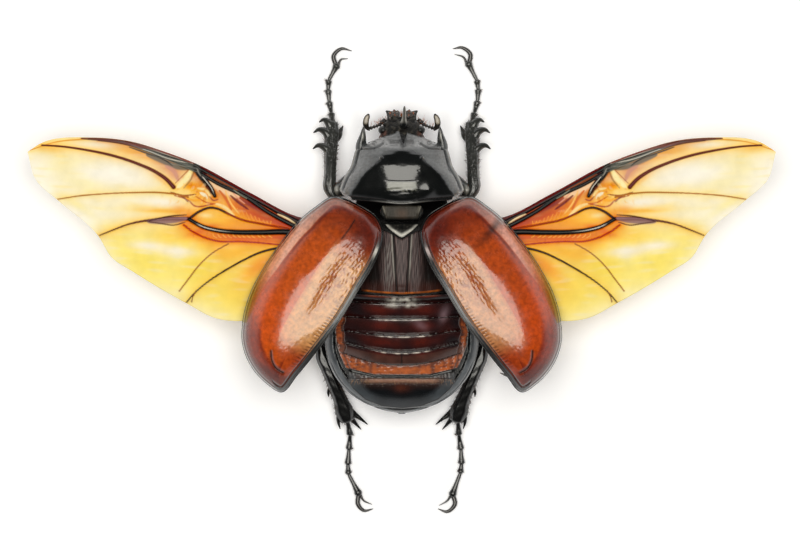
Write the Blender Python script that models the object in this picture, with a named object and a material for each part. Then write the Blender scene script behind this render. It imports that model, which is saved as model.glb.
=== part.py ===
"""A spread rhinoceros beetle, life size, lying on its belly with its wings open.

The head points along +Y, +Z is up and the floor is z = 0. All sizes below are in
millimetres, and MM turns them into metres when a mesh is made. Right-hand pieces
are on +X, and a piece that is alike on both sides is given once, for +X.
"""
import math

import bmesh
import bpy
import numpy as np
from mathutils import Vector
from mathutils import geometry
from mathutils.bvhtree import BVHTree

MM = 0.001
GAP = 0.3
SIDES = {"right": 1.0, "left": -1.0}

# Heights above the floor, and the shell's thickness. The inside of a wing cover is its
# outside, lowered by the thickness and drawn in to its middle by the draw
WING_LEVEL = 10.2
ELYTRON_THICK = 0.8
ELYTRON_DRAW = 0.94
ELYTRON_FRONT = 14.2
ELYTRON_REAR = 12.6
ELYTRON_CREST = 19.4
ELYTRON_INNER = 18.9
ELYTRON_OUTER = 12.2
CREST_AT = 0.3
MEMBRANE_THICK = 0.55
PRONOTUM_TOP = 18.9
MESONOTUM_TOP = 14.6
SCUTELLUM_TOP = 14.7
METANOTUM_TOP = 13.9
TERGITE_TOP = 12.9
PYGIDIUM_TOP = 12.6
PLATE_BOTTOM = 9.5
PYGIDIUM_THICK = 1.6
ARM_FOOT = 10.0
TARSUS_LEVEL = 0.62
CLAW_LEVEL = 0.55

# Colours, roughness and metallic value of each kind of surface
FINISH = {
    "black": ((0.012, 0.011, 0.011, 1.0), 0.18),
    "brown": ((0.05, 0.022, 0.012, 1.0), 0.35),
    "chestnut": ((0.28, 0.045, 0.012, 1.0), 0.2),
    "tergite": ((0.12, 0.035, 0.015, 1.0), 0.4),
    "membrane": ((0.85, 0.5, 0.1, 1.0), 0.35),
    "eye": ((0.03, 0.02, 0.015, 1.0), 0.1),
}

# Stations of a body loft: y, half width, lowest, widest and highest z, and how
# peaked its upper half is (under 1 is broad, 1 is round, over 1 is peaked)
STERNUM = [
    (14.2, 4.4, 4.4, 7.6, 10.8, 0.8),
    (12.4, 6.2, 3.0, 7.6, 11.3, 0.8),
    (10.4, 8.4, 1.4, 7.6, 12.0, 0.8),
    (7.0, 10.2, -0.3, 7.4, 12.5, 0.8),
    (2.0, 11.3, -0.6, 7.6, 12.5, 0.8),
    (-3.0, 12.0, -0.6, 7.8, 12.2, 0.8),
    (-4.9, 12.2, -0.4, 7.8, 12.0, 0.8),
]
ABDOMEN = [
    (-5.2, 12.4, -0.4, 8.0, 12.4, 0.85),
    (-9.0, 13.9, -0.5, 8.2, 12.9, 0.85),
    (-13.0, 13.7, -0.3, 8.2, 12.8, 0.85),
    (-16.9, 12.4, 0.4, 8.0, 12.3, 0.85),
    (-19.8, 10.3, 1.6, 7.7, 11.3, 0.85),
    (-22.2, 7.2, 3.0, 7.3, 10.1, 0.85),
    (-23.7, 3.7, 4.6, 7.1, 8.9, 0.85),
    (-24.3, 0.7, 6.2, 7.0, 7.8, 0.85),
]
PRONOTUM = [
    (13.75, 9.3, 4.9, 9.0, 17.3, 0.75),
    (14.9, 10.8, 4.1, 8.8, 18.1, 0.78),
    (16.4, 11.15, 3.8, 8.8, 18.7, 0.85),
    (18.4, 10.25, 3.8, 8.8, PRONOTUM_TOP, 1.0),
    (20.8, 9.0, 4.0, 8.8, 18.7, 1.15),
    (22.4, 8.6, 4.2, 8.8, 18.1, 1.2),
    (23.4, 8.2, 4.4, 8.8, 16.6, 1.1),
    (24.3, 7.5, 4.8, 8.7, 14.3, 1.0),
    (25.2, 5.4, 5.5, 8.7, 12.3, 0.95),
    (26.6, 1.6, 7.5, 8.7, 10.3, 0.95),
]
# The pronotum's polished triangle: y, and how far from the middle the flat top ends.
# The top bows down by TABLE_BOW times the square of x
TABLE_EDGE = [(13.7, 8.4), (14.9, 9.2), (16.2, 8.5), (18.8, 6.7), (21.5, 3.8), (22.9, 3.0)]
TABLE_BOW = 0.033
PROSTERNUM = [
    (14.3, 5.4, 1.6, 3.6, 5.6, 0.85),
    (16.6, 7.0, 0.5, 3.2, 6.2, 0.85),
    (20.0, 6.8, 0.4, 3.2, 6.2, 0.85),
    (22.8, 5.4, 1.5, 3.6, 5.8, 0.85),
    (23.9, 4.4, 2.6, 4.2, 5.6, 0.85),
]
HEAD = [
    (23.7, 3.9, 4.2, 6.8, 9.4, 0.85),
    (25.6, 4.3, 3.6, 6.4, 9.9, 0.85),
    (27.2, 4.0, 3.6, 6.2, 9.8, 0.85),
    (28.4, 3.3, 3.9, 5.9, 8.6, 0.85),
    (29.2, 2.6, 4.3, 5.7, 7.2, 0.85),
    (29.6, 1.9, 4.8, 5.7, 6.5, 0.85),
]
LOWER_HALF = 0.82

# The wing cover's outline, from its hinge round the outer margin to the tip and
# back along the margin that meets its twin when closed
ELYTRON = [
    (12.3, 14.8), (15.4, 13.0), (18.9, 10.0), (21.9, 6.3), (24.8, 2.0),
    (27.2, -2.6), (28.5, -7.6), (28.6, -11.2), (27.2, -15.2), (24.4, -18.5),
    (21.6, -20.2), (18.6, -17.0), (14.7, -12.2), (11.0, -7.2), (7.6, -1.6),
    (5.0, 2.8), (3.6, 6.4), (3.4, 8.8), (4.4, 11.0), (7.3, 13.1), (9.8, 14.3),
]
HINGE_ARM = [(8.4, 11.4), (6.2, 9.8)]
ELYTRON_HINGE = (8.2, 12.9)
ELYTRON_TIP = (22.6, -20.0)
ELYTRON_ROWS = 20
ELYTRON_COLUMNS = 10

# The hind wing: outline from the root along the leading edge to the tip and back
WING_LEADING = [
    (9.0, 8.2), (13.0, 10.2), (18.7, 11.3), (26.9, 15.4), (37.4, 21.0),
    (43.3, 23.2), (48.2, 24.7), (55.4, 25.5), (64.9, 24.4), (67.2, 22.9),
]
WING_TRAILING = [
    (67.2, 22.9), (65.8, 18.0), (61.3, 13.8), (54.6, 7.9), (52.1, 3.9),
    (48.2, 1.3), (38.9, -4.2), (33.1, -7.1), (28.9, -7.5), (20.0, -4.4),
    (9.0, 1.5),
]
# Each vein: its width, its height over the membrane, and the points it follows
VEINS = {
    "costa": (1.5, 0.55, [(9.6, 7.6), (18.4, 10.3), (24.6, 13.4), (31.8, 17.1),
                          (37.2, 20.0)]),
    "pterostigma": (1.3, 0.45, [(37.2, 20.0), (43.0, 22.2), (48.2, 23.8),
                                (55.4, 24.7), (61.9, 24.1)]),
    "radius": (0.8, 0.35, [(41.0, 16.5), (44.2, 19.3), (51.4, 22.1),
                           (58.4, 23.0), (64.2, 23.2)]),
    "bracket": (0.8, 0.35, [(36.6, 19.6), (35.1, 17.7), (33.5, 14.8)]),
    "subcosta": (0.8, 0.4, [(12.0, 6.6), (19.5, 9.5), (24.6, 11.9), (31.0, 15.4)]),
    "radial_sector": (0.7, 0.3, [(38.4, 14.9), (43.3, 15.6), (53.1, 15.4),
                                 (61.0, 14.6)]),
    "media": (0.9, 0.35, [(38.2, 10.9), (44.9, 10.8), (48.8, 10.2), (53.6, 8.4)]),
    "loop": (0.8, 0.35, [(22.0, 8.9), (25.3, 10.0), (31.2, 11.8), (34.4, 12.9),
                         (38.2, 10.9)]),
    "cubitus": (1.1, 0.45, [(12.0, 5.2), (20.4, 8.0), (30.2, 8.3), (35.8, 9.3),
                            (38.2, 10.9)]),
    "fold": (0.7, 0.3, [(12.0, 4.2), (22.6, 5.9), (28.6, 6.5), (36.4, 8.2)]),
    "anal_outer": (0.7, 0.3, [(31.5, 6.4), (36.4, 2.6), (39.7, -2.6)]),
    "anal": (0.8, 0.35, [(12.0, 3.2), (22.5, 4.9), (28.6, 3.0), (35.1, -0.8),
                         (38.2, -3.6)]),
}

# The plates of the back: half outlines at +X from front to rear
MESONOTUM = [(0.0, 13.3), (3.5, 13.1), (3.9, 11.6), (3.2, 10.5), (0.0, 10.4)]
SCUTELLUM = [(0.0, 10.1), (3.1, 10.0), (2.0, 8.7), (0.0, 7.5)]
METANOTUM = [(0.0, 7.1), (2.7, 8.4), (4.2, 9.0), (6.8, 7.0), (7.6, 2.0),
             (7.4, -2.6), (0.0, -2.4)]
TERGITES = [(0.0, -2.8), (8.8, -3.0), (11.4, -6.4), (12.2, -9.6), (11.9, -13.0),
            (10.9, -16.0), (9.6, -17.6), (0.0, -19.2)]
TERGITE_LINES = [-4.4, -7.0, -10.0, -12.9, -15.4]
TERGITE_ROLL = 0.45
PYGIDIUM = [(0.0, -19.6), (9.5, -18.0), (8.9, -19.6), (6.6, -21.6), (3.6, -22.8),
            (0.0, -23.2)]

# Head pieces
EYE_CENTRE = (3.7, 26.95, 6.6)
EYE_RADII = (1.15, 1.0, 1.2)
HEAD_HORN = [(0.35, 27.6, 8.4, 0.95), (0.4, 28.6, 10.6, 0.75),
             (0.45, 29.9, 12.6, 0.5), (0.5, 31.0, 14.2, 0.16)]
MANDIBLE = [(0.6, 28.2), (2.5, 28.3), (3.0, 29.3), (3.0, 30.4), (2.3, 30.6),
            (2.0, 30.2), (1.5, 30.2), (1.2, 30.55), (0.6, 30.4), (0.45, 29.2)]
MANDIBLE_Z = (4.3, 5.5)
ANTENNA_STEM = [(2.9, 28.2, 5.2, 0.36), (4.0, 27.9, 5.3, 0.42),
                (5.0, 27.5, 5.4, 0.3), (5.9, 27.3, 5.5, 0.36)]
CLUB = [(5.9, 27.2, 5.5, 0.35), (6.5, 27.8, 5.6, 0.55), (6.65, 28.6, 5.7, 0.6),
        (6.4, 29.4, 5.7, 0.5), (6.05, 29.85, 5.7, 0.3)]
CLUB_LEAVES = 3
CLUB_LEAF_STEP = 0.62
PALP = [(1.1, 27.4, 3.9, 0.45), (1.8, 28.8, 3.5, 0.35), (1.7, 30.0, 3.7, 0.32),
        (1.3, 30.7, 3.9, 0.2)]

# Horns of the pronotum
FRONT_HORN = [(7.2, 23.0, 9.5, 1.15), (7.35, 24.8, 9.7, 1.0), (7.3, 26.2, 9.9, 0.66),
              (7.0, 27.6, 10.3, 0.16)]
UPPER_HORN = [(3.1, 20.8, 17.0, 1.3), (3.4, 21.6, 17.9, 0.95), (3.8, 22.2, 18.9, 0.3)]

# Legs. A femur and tibia row holds a point with its half width and half height
FORE = {
    "femur": [(4.2, 19.2, 2.4, 1.5, 1.5), (7.6, 18.3, 3.0, 1.9, 1.7),
              (10.4, 16.7, 3.9, 1.7, 1.6), (12.1, 15.6, 4.8, 1.2, 1.2)],
    "tibia": [(12.4, 14.9, 5.0, 0.9, 0.9), (12.9, 17.2, 4.8, 1.05, 1.0),
              (12.9, 22.0, 3.8, 1.15, 0.95), (12.7, 25.8, 2.7, 1.45, 0.9),
              (12.6, 28.3, 2.1, 1.15, 0.8)],
    "teeth": [[(12.9, 22.7, 3.6), (14.4, 24.1, 3.4), (16.1, 23.7, 3.2)],
              [(13.0, 25.6, 2.8), (14.5, 27.1, 2.6), (16.1, 26.65, 2.4)],
              [(12.7, 27.2, 2.3), (13.8, 28.85, 2.1), (15.1, 28.55, 1.9)],
              [(12.3, 25.3, 2.5), (11.4, 26.4, 2.1), (10.7, 27.9, 1.8)]],
    "tooth_radius": 0.85,
}
MIDDLE = {
    "femur": [(3.9, 5.0, 2.2, 1.4, 1.4), (8.0, 4.8, 2.6, 1.8, 1.6),
              (13.0, 4.0, 3.8, 1.7, 1.6), (17.4, 3.2, 5.0, 1.2, 1.2)],
    "tibia": [(18.1, 3.6, 5.0, 0.9, 0.9), (19.6, 0.6, 4.6, 1.0, 0.95),
              (21.2, -3.2, 3.6, 1.15, 1.0), (22.5, -7.0, 2.4, 1.5, 0.95)],
    "teeth": [[(21.4, -3.0, 3.5), (22.7, -4.1, 3.3), (23.9, -5.3, 3.0)],
              [(22.6, -5.8, 2.6), (23.8, -7.2, 2.2), (24.6, -9.0, 1.7)],
              [(21.9, -6.2, 2.4), (21.3, -7.6, 1.8), (21.0, -9.4, 1.3)]],
    "tooth_radius": 0.6,
}
HIND = {
    "femur": [(4.6, -2.6, 2.0, 1.5, 1.4), (8.2, -5.4, 2.1, 1.9, 1.5),
              (12.0, -9.0, 3.0, 1.9, 1.5), (14.6, -11.4, 4.4, 1.3, 1.3)],
    "tibia": [(14.7, -12.2, 4.7, 0.95, 0.95), (13.7, -15.8, 4.4, 1.1, 1.0),
              (12.4, -18.9, 3.7, 1.2, 1.05), (11.1, -22.0, 2.8, 1.35, 1.05),
              (10.1, -25.0, 2.1, 1.75, 1.0)],
    "teeth": [[(12.3, -18.9, 3.5), (13.2, -20.2, 3.3), (13.0, -21.9, 3.1)],
              [(10.9, -23.8, 2.3), (11.5, -25.6, 2.0), (11.3, -27.2, 1.6)],
              [(9.5, -23.6, 2.2), (7.9, -25.0, 1.8), (6.3, -26.5, 1.4)],
              [(9.6, -24.4, 1.9), (8.7, -25.8, 1.5), (7.5, -27.3, 1.2)]],
    "tooth_radius": 0.65,
}
# The feet lie a little differently on each side
FEET = {
    ("fore", "right"): {
        "tarsus": [(12.6, 28.2), (13.2, 30.2), (13.8, 32.4), (13.95, 34.6),
                   (13.7, 36.2), (12.1, 39.4)],
        "claws": [[(12.3, 39.3), (12.5, 41.0), (11.0, 42.2), (9.3, 42.0)],
                  [(11.9, 39.0), (11.3, 40.4), (9.6, 41.0)]]},
    ("fore", "left"): {
        "tarsus": [(12.5, 28.2), (12.8, 30.2), (13.2, 32.3), (13.4, 34.5),
                   (13.3, 36.2), (11.8, 39.0)],
        "claws": [[(12.0, 39.0), (12.4, 40.7), (11.0, 42.0), (9.1, 41.6)],
                  [(11.6, 38.8), (11.1, 40.0), (9.8, 40.2)]]},
    ("middle", "right"): {
        "tarsus": [(22.6, -7.4), (23.1, -8.9), (23.2, -10.5), (22.8, -12.0),
                   (22.1, -13.3), (20.3, -15.9)],
        "claws": [[(20.5, -15.8), (19.9, -17.6), (18.6, -17.8), (17.6, -16.9)],
                  [(20.1, -15.7), (19.2, -16.4), (18.0, -15.8)]]},
    ("hind", "right"): {
        "tarsus": [(10.2, -25.6), (10.4, -28.3), (10.8, -31.0), (10.9, -33.6),
                   (10.7, -35.2), (9.2, -39.3)],
        "claws": [[(9.3, -39.2), (9.7, -40.9), (8.3, -42.3), (6.6, -41.8)],
                  [(9.0, -39.2), (8.4, -40.2), (6.8, -41.2)]]},
    ("hind", "left"): {
        "tarsus": [(9.9, -25.6), (9.4, -28.3), (9.6, -31.0), (9.8, -33.7),
                   (9.7, -35.4), (7.8, -39.1)],
        "claws": [[(7.9, -39.1), (7.9, -41.1), (6.9, -42.1), (5.2, -41.8)],
                  [(7.6, -39.0), (7.0, -40.2), (5.4, -41.0)]]},
}
FEET[("middle", "left")] = FEET[("middle", "right")]
SEGMENT_NECK = 0.42
SEGMENT_END = 0.66
LAST_SEGMENT_END = 0.85
CLAW_RADIUS = 0.52


def smooth(points, count, closed=False):
    """Rows spaced evenly on a smooth curve through the given rows."""
    knots = [np.array(point, dtype=float) for point in points]
    if closed:
        knots.append(knots[0])
    spans = [np.linalg.norm(b - a) for a, b in zip(knots, knots[1:])]
    slopes = [(b - a) / d for a, b, d in zip(knots, knots[1:], spans)]
    tangents = []
    for i in range(len(knots)):
        before = slopes[i - 1] if i > 0 or closed else slopes[0]
        after = slopes[i] if i < len(slopes) else slopes[0 if closed else -1]
        before_span = spans[i - 1] if i > 0 or closed else 1.0
        after_span = spans[i] if i < len(spans) else spans[0 if closed else -1]
        mixed = (before * after_span + after * before_span) / (before_span + after_span)
        tangents.append(mixed)
    fine = []
    steps = 24
    for i, span in enumerate(spans):
        for k in range(steps):
            t = k / steps
            h00 = 2 * t ** 3 - 3 * t ** 2 + 1
            h10 = t ** 3 - 2 * t ** 2 + t
            h01 = 3 * t ** 2 - 2 * t ** 3
            h11 = t ** 3 - t ** 2
            start = h00 * knots[i] + h10 * span * tangents[i]
            end = h01 * knots[i + 1] + h11 * span * tangents[i + 1]
            fine.append(start + end)
    fine.append(knots[-1])
    fine = np.array(fine)
    lengths = np.linalg.norm(np.diff(fine, axis=0), axis=1)
    travelled = np.concatenate([[0.0], np.cumsum(lengths)])
    stops = np.linspace(0.0, travelled[-1], count + 1 if closed else count)
    rows = np.stack([np.interp(stops, travelled, column) for column in fine.T], axis=1)
    return rows[:-1] if closed else rows


def finish(name, kind):
    """A material of the node's own."""
    colour, roughness = FINISH[kind]
    material = bpy.data.materials.new(name + "_cuticle")
    material.use_nodes = True
    shader = material.node_tree.nodes["Principled BSDF"]
    shader.inputs["Base Color"].default_value = colour
    shader.inputs["Roughness"].default_value = roughness
    shader.inputs["Metallic"].default_value = 0.0
    material.diffuse_color = colour
    return material


def solid(name, points, faces, kind):
    """A closed mesh object from points in millimetres, its faces pointing out."""
    mesh = bpy.data.meshes.new(name)
    mesh.from_pydata([tuple(MM * value for value in point) for point in points], [], faces)
    work = bmesh.new()
    work.from_mesh(mesh)
    bmesh.ops.recalc_face_normals(work, faces=work.faces)
    if work.calc_volume(signed=True) < 0:
        bmesh.ops.reverse_faces(work, faces=work.faces)
    work.to_mesh(mesh)
    work.free()
    item = bpy.data.objects.new(name, mesh)
    bpy.context.scene.collection.objects.link(item)
    mesh.materials.append(finish(name, kind))
    return item


def skin_rings(rings):
    """Faces that join equal rings one to the next and close both ends."""
    sides = len(rings[0])
    points = [point for ring in rings for point in ring]
    faces = []
    for i in range(len(rings) - 1):
        for k in range(sides):
            near = i * sides
            far = near + sides
            after = (k + 1) % sides
            faces.append((near + k, near + after, far + after, far + k))
    faces.append(tuple(range(sides))[::-1])
    last = (len(rings) - 1) * sides
    faces.append(tuple(range(last, last + sides)))
    return points, faces


def power(value, exponent):
    """A power that keeps the sign."""
    return math.copysign(abs(value) ** exponent, value)


def flank_reach(y, half, wide, high, peak):
    """How high a flank aims, so that it meets the flat top at the table's edge."""
    edge = np.interp(y, *np.array(TABLE_EDGE).T)
    cosine = min(edge / half, 0.98) ** (1.0 / peak)
    return (high - TABLE_BOW * edge ** 2 - wide) / (1.0 - cosine ** 2) ** (0.5 * peak)


def body_loft(name, stations, rings, sides, kind, table=False):
    """A body piece of rounded cross-sections along Y, flat where it lies.

    With a table, the flanks end at a flat top.
    """
    loops = []
    for y, half, low, wide, high, peak in smooth(stations, rings):
        tabled = table and y < TABLE_EDGE[-1][0]
        upward = flank_reach(y, half, wide, high, peak) if tabled else high - wide
        ring = []
        for k in range(sides):
            angle = 2 * math.pi * (k + 0.5) / sides
            above = math.sin(angle) > 0
            bend = peak if above else LOWER_HALF
            x = half * power(math.cos(angle), bend)
            reach = upward if above else wide - low
            z = wide + reach * power(math.sin(angle), bend)
            if tabled:
                z = min(z, high - TABLE_BOW * x * x)
            ring.append((x, y, max(z, 0.0)))
        loops.append(ring)
    points, faces = skin_rings(loops)
    return solid(name, points, faces, kind)


def tube(name, rows, rings, sides, kind, up=(0.0, 0.0, 1.0), even=True):
    """A tapered tube. A row is x, y, z, half width and, where unlike, half height."""
    rows = [tuple(row) + (row[3],) * (5 - len(row)) for row in rows]
    line = smooth(rows, rings) if even else np.array(rows, dtype=float)
    loops = []
    for i, row in enumerate(line):
        back = line[max(i - 1, 0)]
        ahead = line[min(i + 1, len(line) - 1)]
        along = Vector(ahead[:3] - back[:3]).normalized()
        side = along.cross(Vector(up)).normalized()
        lift = side.cross(along)
        centre = Vector(row[:3])
        ring = []
        for k in range(sides):
            angle = 2 * math.pi * (k + 0.5) / sides
            point = centre + side * row[3] * math.cos(angle) + lift * row[4] * math.sin(angle)
            ring.append((point.x, point.y, max(point.z, 0.0)))
        loops.append(ring)
    points, faces = skin_rings(loops)
    return solid(name, points, faces, kind)


def ball(name, centre, radii, rings, sides, kind):
    """An egg shape of rings round the Y axis."""
    rows = []
    for i in range(rings):
        angle = math.pi * (i + 0.35) / (rings - 0.3)
        rows.append((centre[1] - radii[1] * math.cos(angle), math.sin(angle)))
    loops = []
    for y, share in rows:
        ring = []
        for k in range(sides):
            angle = 2 * math.pi * (k + 0.5) / sides
            x = centre[0] + radii[0] * share * math.cos(angle)
            z = centre[2] + radii[2] * share * math.sin(angle)
            ring.append((x, y, z))
        loops.append(ring)
    points, faces = skin_rings(loops)
    return solid(name, points, faces, kind)


def plate(name, outline, lines, spacing, top, bottom, kind):
    """A plate over an outline, with the same triangles on its top and its underside.

    Lines are polylines that edges follow, so a ridge or a groove has its own edges.
    """
    count = len(outline)
    points = [Vector(point) for point in outline]
    edges = [(i, (i + 1) % count) for i in range(count)]
    for line in lines:
        start = len(points)
        points += [Vector(point) for point in line]
        edges += [(start + i, start + i + 1) for i in range(len(line) - 1)]
    low = [min(point[axis] for point in outline) for axis in (0, 1)]
    high = [max(point[axis] for point in outline) for axis in (0, 1)]
    taken = [point.copy() for point in points]
    rows = int((high[1] - low[1]) / (spacing * 0.87)) + 1
    columns = int((high[0] - low[0]) / spacing) + 1
    for row in range(rows + 1):
        for column in range(columns + 1):
            shift = 0.5 * spacing * (row % 2)
            spot = Vector((low[0] + column * spacing + shift, low[1] + row * spacing * 0.87))
            nearest = min((spot - other).length for other in taken)
            if nearest > 0.62 * spacing and inside(spot, outline):
                points.append(spot)
    face = [tuple(range(count))]
    found = geometry.delaunay_2d_cdt(points, edges, face, 1, 0.02)
    flat, triangles = found[0], found[2]
    total = len(flat)
    upper = [(p.x, p.y, top(p.x, p.y)) for p in flat]
    lower = [(p.x, p.y, bottom(p.x, p.y)) for p in flat]
    faces = [tuple(face) for face in triangles]
    faces += [tuple(total + i for i in reversed(face)) for face in triangles]
    rim = {}
    for face in triangles:
        for a, b in zip(face, face[1:] + face[:1]):
            rim[(a, b)] = (b, a)
    for (a, b), twin in rim.items():
        if twin not in rim:
            faces.append((b, a, total + a, total + b))
    return solid(name, upper + lower, faces, kind)


def inside(spot, outline):
    """Whether a point lies inside a closed outline."""
    crossings = 0
    for a, b in zip(outline, outline[1:] + outline[:1]):
        if (a[1] > spot.y) != (b[1] > spot.y):
            at = a[0] + (b[0] - a[0]) * (spot.y - a[1]) / (b[1] - a[1])
            crossings += at > spot.x
    return crossings % 2 == 1


def both_halves(half):
    """A closed outline from its +X half, which starts and ends on the middle line."""
    return list(half) + [(-x, y) for x, y in reversed(half[1:-1])]


def mirrored(rows, side):
    """The same rows on the given side."""
    return [(row[0] * side,) + tuple(row[1:]) for row in rows]


def settle(item):
    """Applies an object's modifiers to its mesh and keeps the largest closed surface."""
    bpy.context.view_layer.update()
    graph = bpy.context.evaluated_depsgraph_get()
    mesh = bpy.data.meshes.new_from_object(item.evaluated_get(graph))
    item.modifiers.clear()
    old = item.data
    item.data = mesh
    bpy.data.meshes.remove(old)
    work = bmesh.new()
    work.from_mesh(mesh)
    bmesh.ops.remove_doubles(work, verts=work.verts, dist=0.002 * MM)
    bmesh.ops.dissolve_degenerate(work, edges=work.edges, dist=0.002 * MM)
    bmesh.ops.triangulate(work, faces=work.faces)
    unseen = set(work.faces)
    bodies = []
    while unseen:
        queue = [unseen.pop()]
        body = []
        while queue:
            face = queue.pop()
            body.append(face)
            for edge in face.edges:
                for other in edge.link_faces:
                    if other in unseen:
                        unseen.discard(other)
                        queue.append(other)
        bodies.append(body)
    bodies.sort(key=lambda body: sum(face.calc_area() for face in body))
    for body in bodies[:-1]:
        bmesh.ops.delete(work, geom=body, context="FACES")
    work.to_mesh(mesh)
    work.free()


def fuse(item, others):
    """Unites closed objects with the first and removes them."""
    group = bpy.data.collections.new("fuse")
    bpy.context.scene.collection.children.link(group)
    for other in others:
        group.objects.link(other)
    step = item.modifiers.new("fuse", "BOOLEAN")
    step.operation = "UNION"
    step.operand_type = "COLLECTION"
    step.collection = group
    step.solver = "EXACT"
    settle(item)
    for other in others:
        bpy.data.objects.remove(other)
    bpy.data.collections.remove(group)
    material = item.data.materials[0]
    item.data.materials.clear()
    item.data.materials.append(material)
    return item


def clear(item, *neighbours, gap=GAP):
    """Cuts an object back so that it faces each neighbour across the gap."""
    for neighbour in neighbours:
        work = bmesh.new()
        work.from_mesh(neighbour.data)
        bmesh.ops.remove_doubles(work, verts=work.verts, dist=0.001 * MM)
        work.normal_update()
        for vertex in work.verts:
            reach = max(vertex.calc_shell_factor(), 1.0)
            vertex.co += vertex.normal * gap * MM * min(reach, 1.6)
        work.normal_update()
        own = bmesh.new()
        own.from_mesh(item.data)
        touching = BVHTree.FromBMesh(work).overlap(BVHTree.FromBMesh(own))
        own.free()
        if not touching:
            work.free()
            continue
        mesh = bpy.data.meshes.new("cutter")
        work.to_mesh(mesh)
        work.free()
        cutter = bpy.data.objects.new("cutter", mesh)
        cutter.hide_render = True
        cutter.display_type = "WIRE"
        bpy.context.scene.collection.objects.link(cutter)
        step = item.modifiers.new("clear", "BOOLEAN")
        step.operation = "DIFFERENCE"
        step.object = cutter
        settle(item)
        bpy.data.objects.remove(cutter)
        bpy.data.meshes.remove(mesh)
    return item


def spike(name, points, radius, kind):
    """A tooth or spur: a bent cone through its root, its bend and its tip."""
    rows = [tuple(point) + (radius * share,) for point, share in zip(points, (1.0, 0.7, 0.12))]
    return tube(name, rows, 4, 6, kind)


class ElytronShape:
    """The wing cover's surface, by how far along it and how far across a point lies."""

    def __init__(self):
        self.outline = smooth(ELYTRON, 160, closed=True)
        self.start = np.array(ELYTRON_HINGE)
        axis = np.array(ELYTRON_TIP) - self.start
        self.axis = axis / np.linalg.norm(axis)
        self.across = np.array((-self.axis[1], self.axis[0]))
        local = self.outline - self.start
        self.along = local @ self.axis
        self.out = local @ self.across

    def chord(self, s):
        """Where the line across at s meets the inner and the outer margin."""
        hits = []
        for i in range(len(self.along)):
            a, b = self.along[i - 1], self.along[i]
            if (a > s) != (b > s):
                share = (s - a) / (b - a)
                hits.append(self.out[i - 1] + share * (self.out[i] - self.out[i - 1]))
        return min(hits), max(hits)

    def height(self, along, across):
        """A vault that slopes gently to the inner margin and drops to the outer one."""
        along = min(max(along, 0.0), 1.0)
        across = min(max(across, 0.0), 1.0)
        ends = ELYTRON_FRONT + (ELYTRON_REAR - ELYTRON_FRONT) * along
        swell = (1.0 - abs(2.0 * along - 1.0) ** 2.8) ** 0.55
        gentle = (1.0 - abs(2.0 * along - 1.0) ** 2.2) ** 0.9
        inner = ends + (ELYTRON_INNER - ends) * gentle
        outer = ends + (ELYTRON_OUTER - ends) * swell
        crest = ends + (ELYTRON_CREST - ends) * swell
        if across < CREST_AT:
            return crest - (crest - inner) * (1.0 - across / CREST_AT) ** 2
        share = (across - CREST_AT) / (1.0 - CREST_AT)
        return outer + (crest - outer) * (1.0 - share ** 2.3) ** 0.55

    def surface(self, x, y):
        """Height of the outer surface over a point."""
        local = np.array((x, y)) - self.start
        s = float(local @ self.axis)
        inner, outer = self.chord(s)
        low, high = self.along.min(), self.along.max()
        return self.height((s - low) / (high - low),
                           (float(local @ self.across) - inner) / (outer - inner))

    def grid(self):
        """Points of the outer surface, row by row from the hinge to the tip."""
        low, high = self.along.min(), self.along.max()
        rows = []
        for i in range(ELYTRON_ROWS + 1):
            share = 0.5 - 0.5 * math.cos(math.pi * (i + 0.18) / (ELYTRON_ROWS + 0.36))
            s = low + share * (high - low)
            inner, outer = self.chord(s)
            row = []
            for j in range(ELYTRON_COLUMNS + 1):
                u = 0.5 - 0.5 * math.cos(math.pi * j / ELYTRON_COLUMNS)
                t = inner + u * (outer - inner)
                place = self.start + s * self.axis + t * self.across
                row.append(Vector((place[0], place[1], self.height(share, u))))
            rows.append(row)
        return rows


def elytron(side_name, side):
    """A domed wing cover with its hinge arm."""
    shape = ElytronShape()
    rows = shape.grid()
    last_row = len(rows) - 1
    last_column = len(rows[0]) - 1
    middle_x, middle_y = shape.outline.mean(axis=0)
    outer = []
    inner = []
    for point in (point for row in rows for point in row):
        under_x = middle_x + (point.x - middle_x) * ELYTRON_DRAW
        under_y = middle_y + (point.y - middle_y) * ELYTRON_DRAW
        outer.append((point.x * side, point.y, point.z))
        inner.append((under_x * side, under_y, point.z - ELYTRON_THICK))
    width = last_column + 1
    total = len(outer)
    faces = []
    for i in range(last_row):
        for j in range(last_column):
            a = i * width + j
            corners = (a, a + 1, a + width + 1, a + width)
            faces.append(corners[:3])
            faces.append((corners[0], corners[2], corners[3]))
            faces.append((total + corners[2], total + corners[1], total + corners[0]))
            faces.append((total + corners[3], total + corners[2], total + corners[0]))
    rim = [i * width for i in range(last_row + 1)]
    rim += [last_row * width + j for j in range(1, width)]
    rim += [i * width + last_column for i in range(last_row - 1, -1, -1)]
    rim += [j for j in range(last_column - 1, 0, -1)]
    for a, b in zip(rim, rim[1:] + rim[:1]):
        faces.append((a, b, total + b, total + a))
    name = "elytron_" + side_name
    cover = solid(name, outer + inner, faces, "chestnut")
    x, y = HINGE_ARM[0]
    head = shape.surface(x, y) - 0.5 * ELYTRON_THICK
    foot_x, foot_y = HINGE_ARM[1]
    arm_rows = [(x, y, head, 0.3), (x, y, head - 0.9, 1.2), (foot_x, foot_y, ARM_FOOT, 1.3)]
    arm = tube("arm", mirrored(arm_rows, side), 5, 8, "chestnut", up=(0.0, 1.0, 0.0))
    return fuse(cover, [arm])


def wing_height(x, y):
    """Height of the middle of the membrane, gently arched along the wing."""
    share = (abs(x) - 9.0) / 58.0
    return WING_LEVEL + 1.6 * share ** 2 + 0.035 * (y - 4.0) * (1.0 - share)


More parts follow.
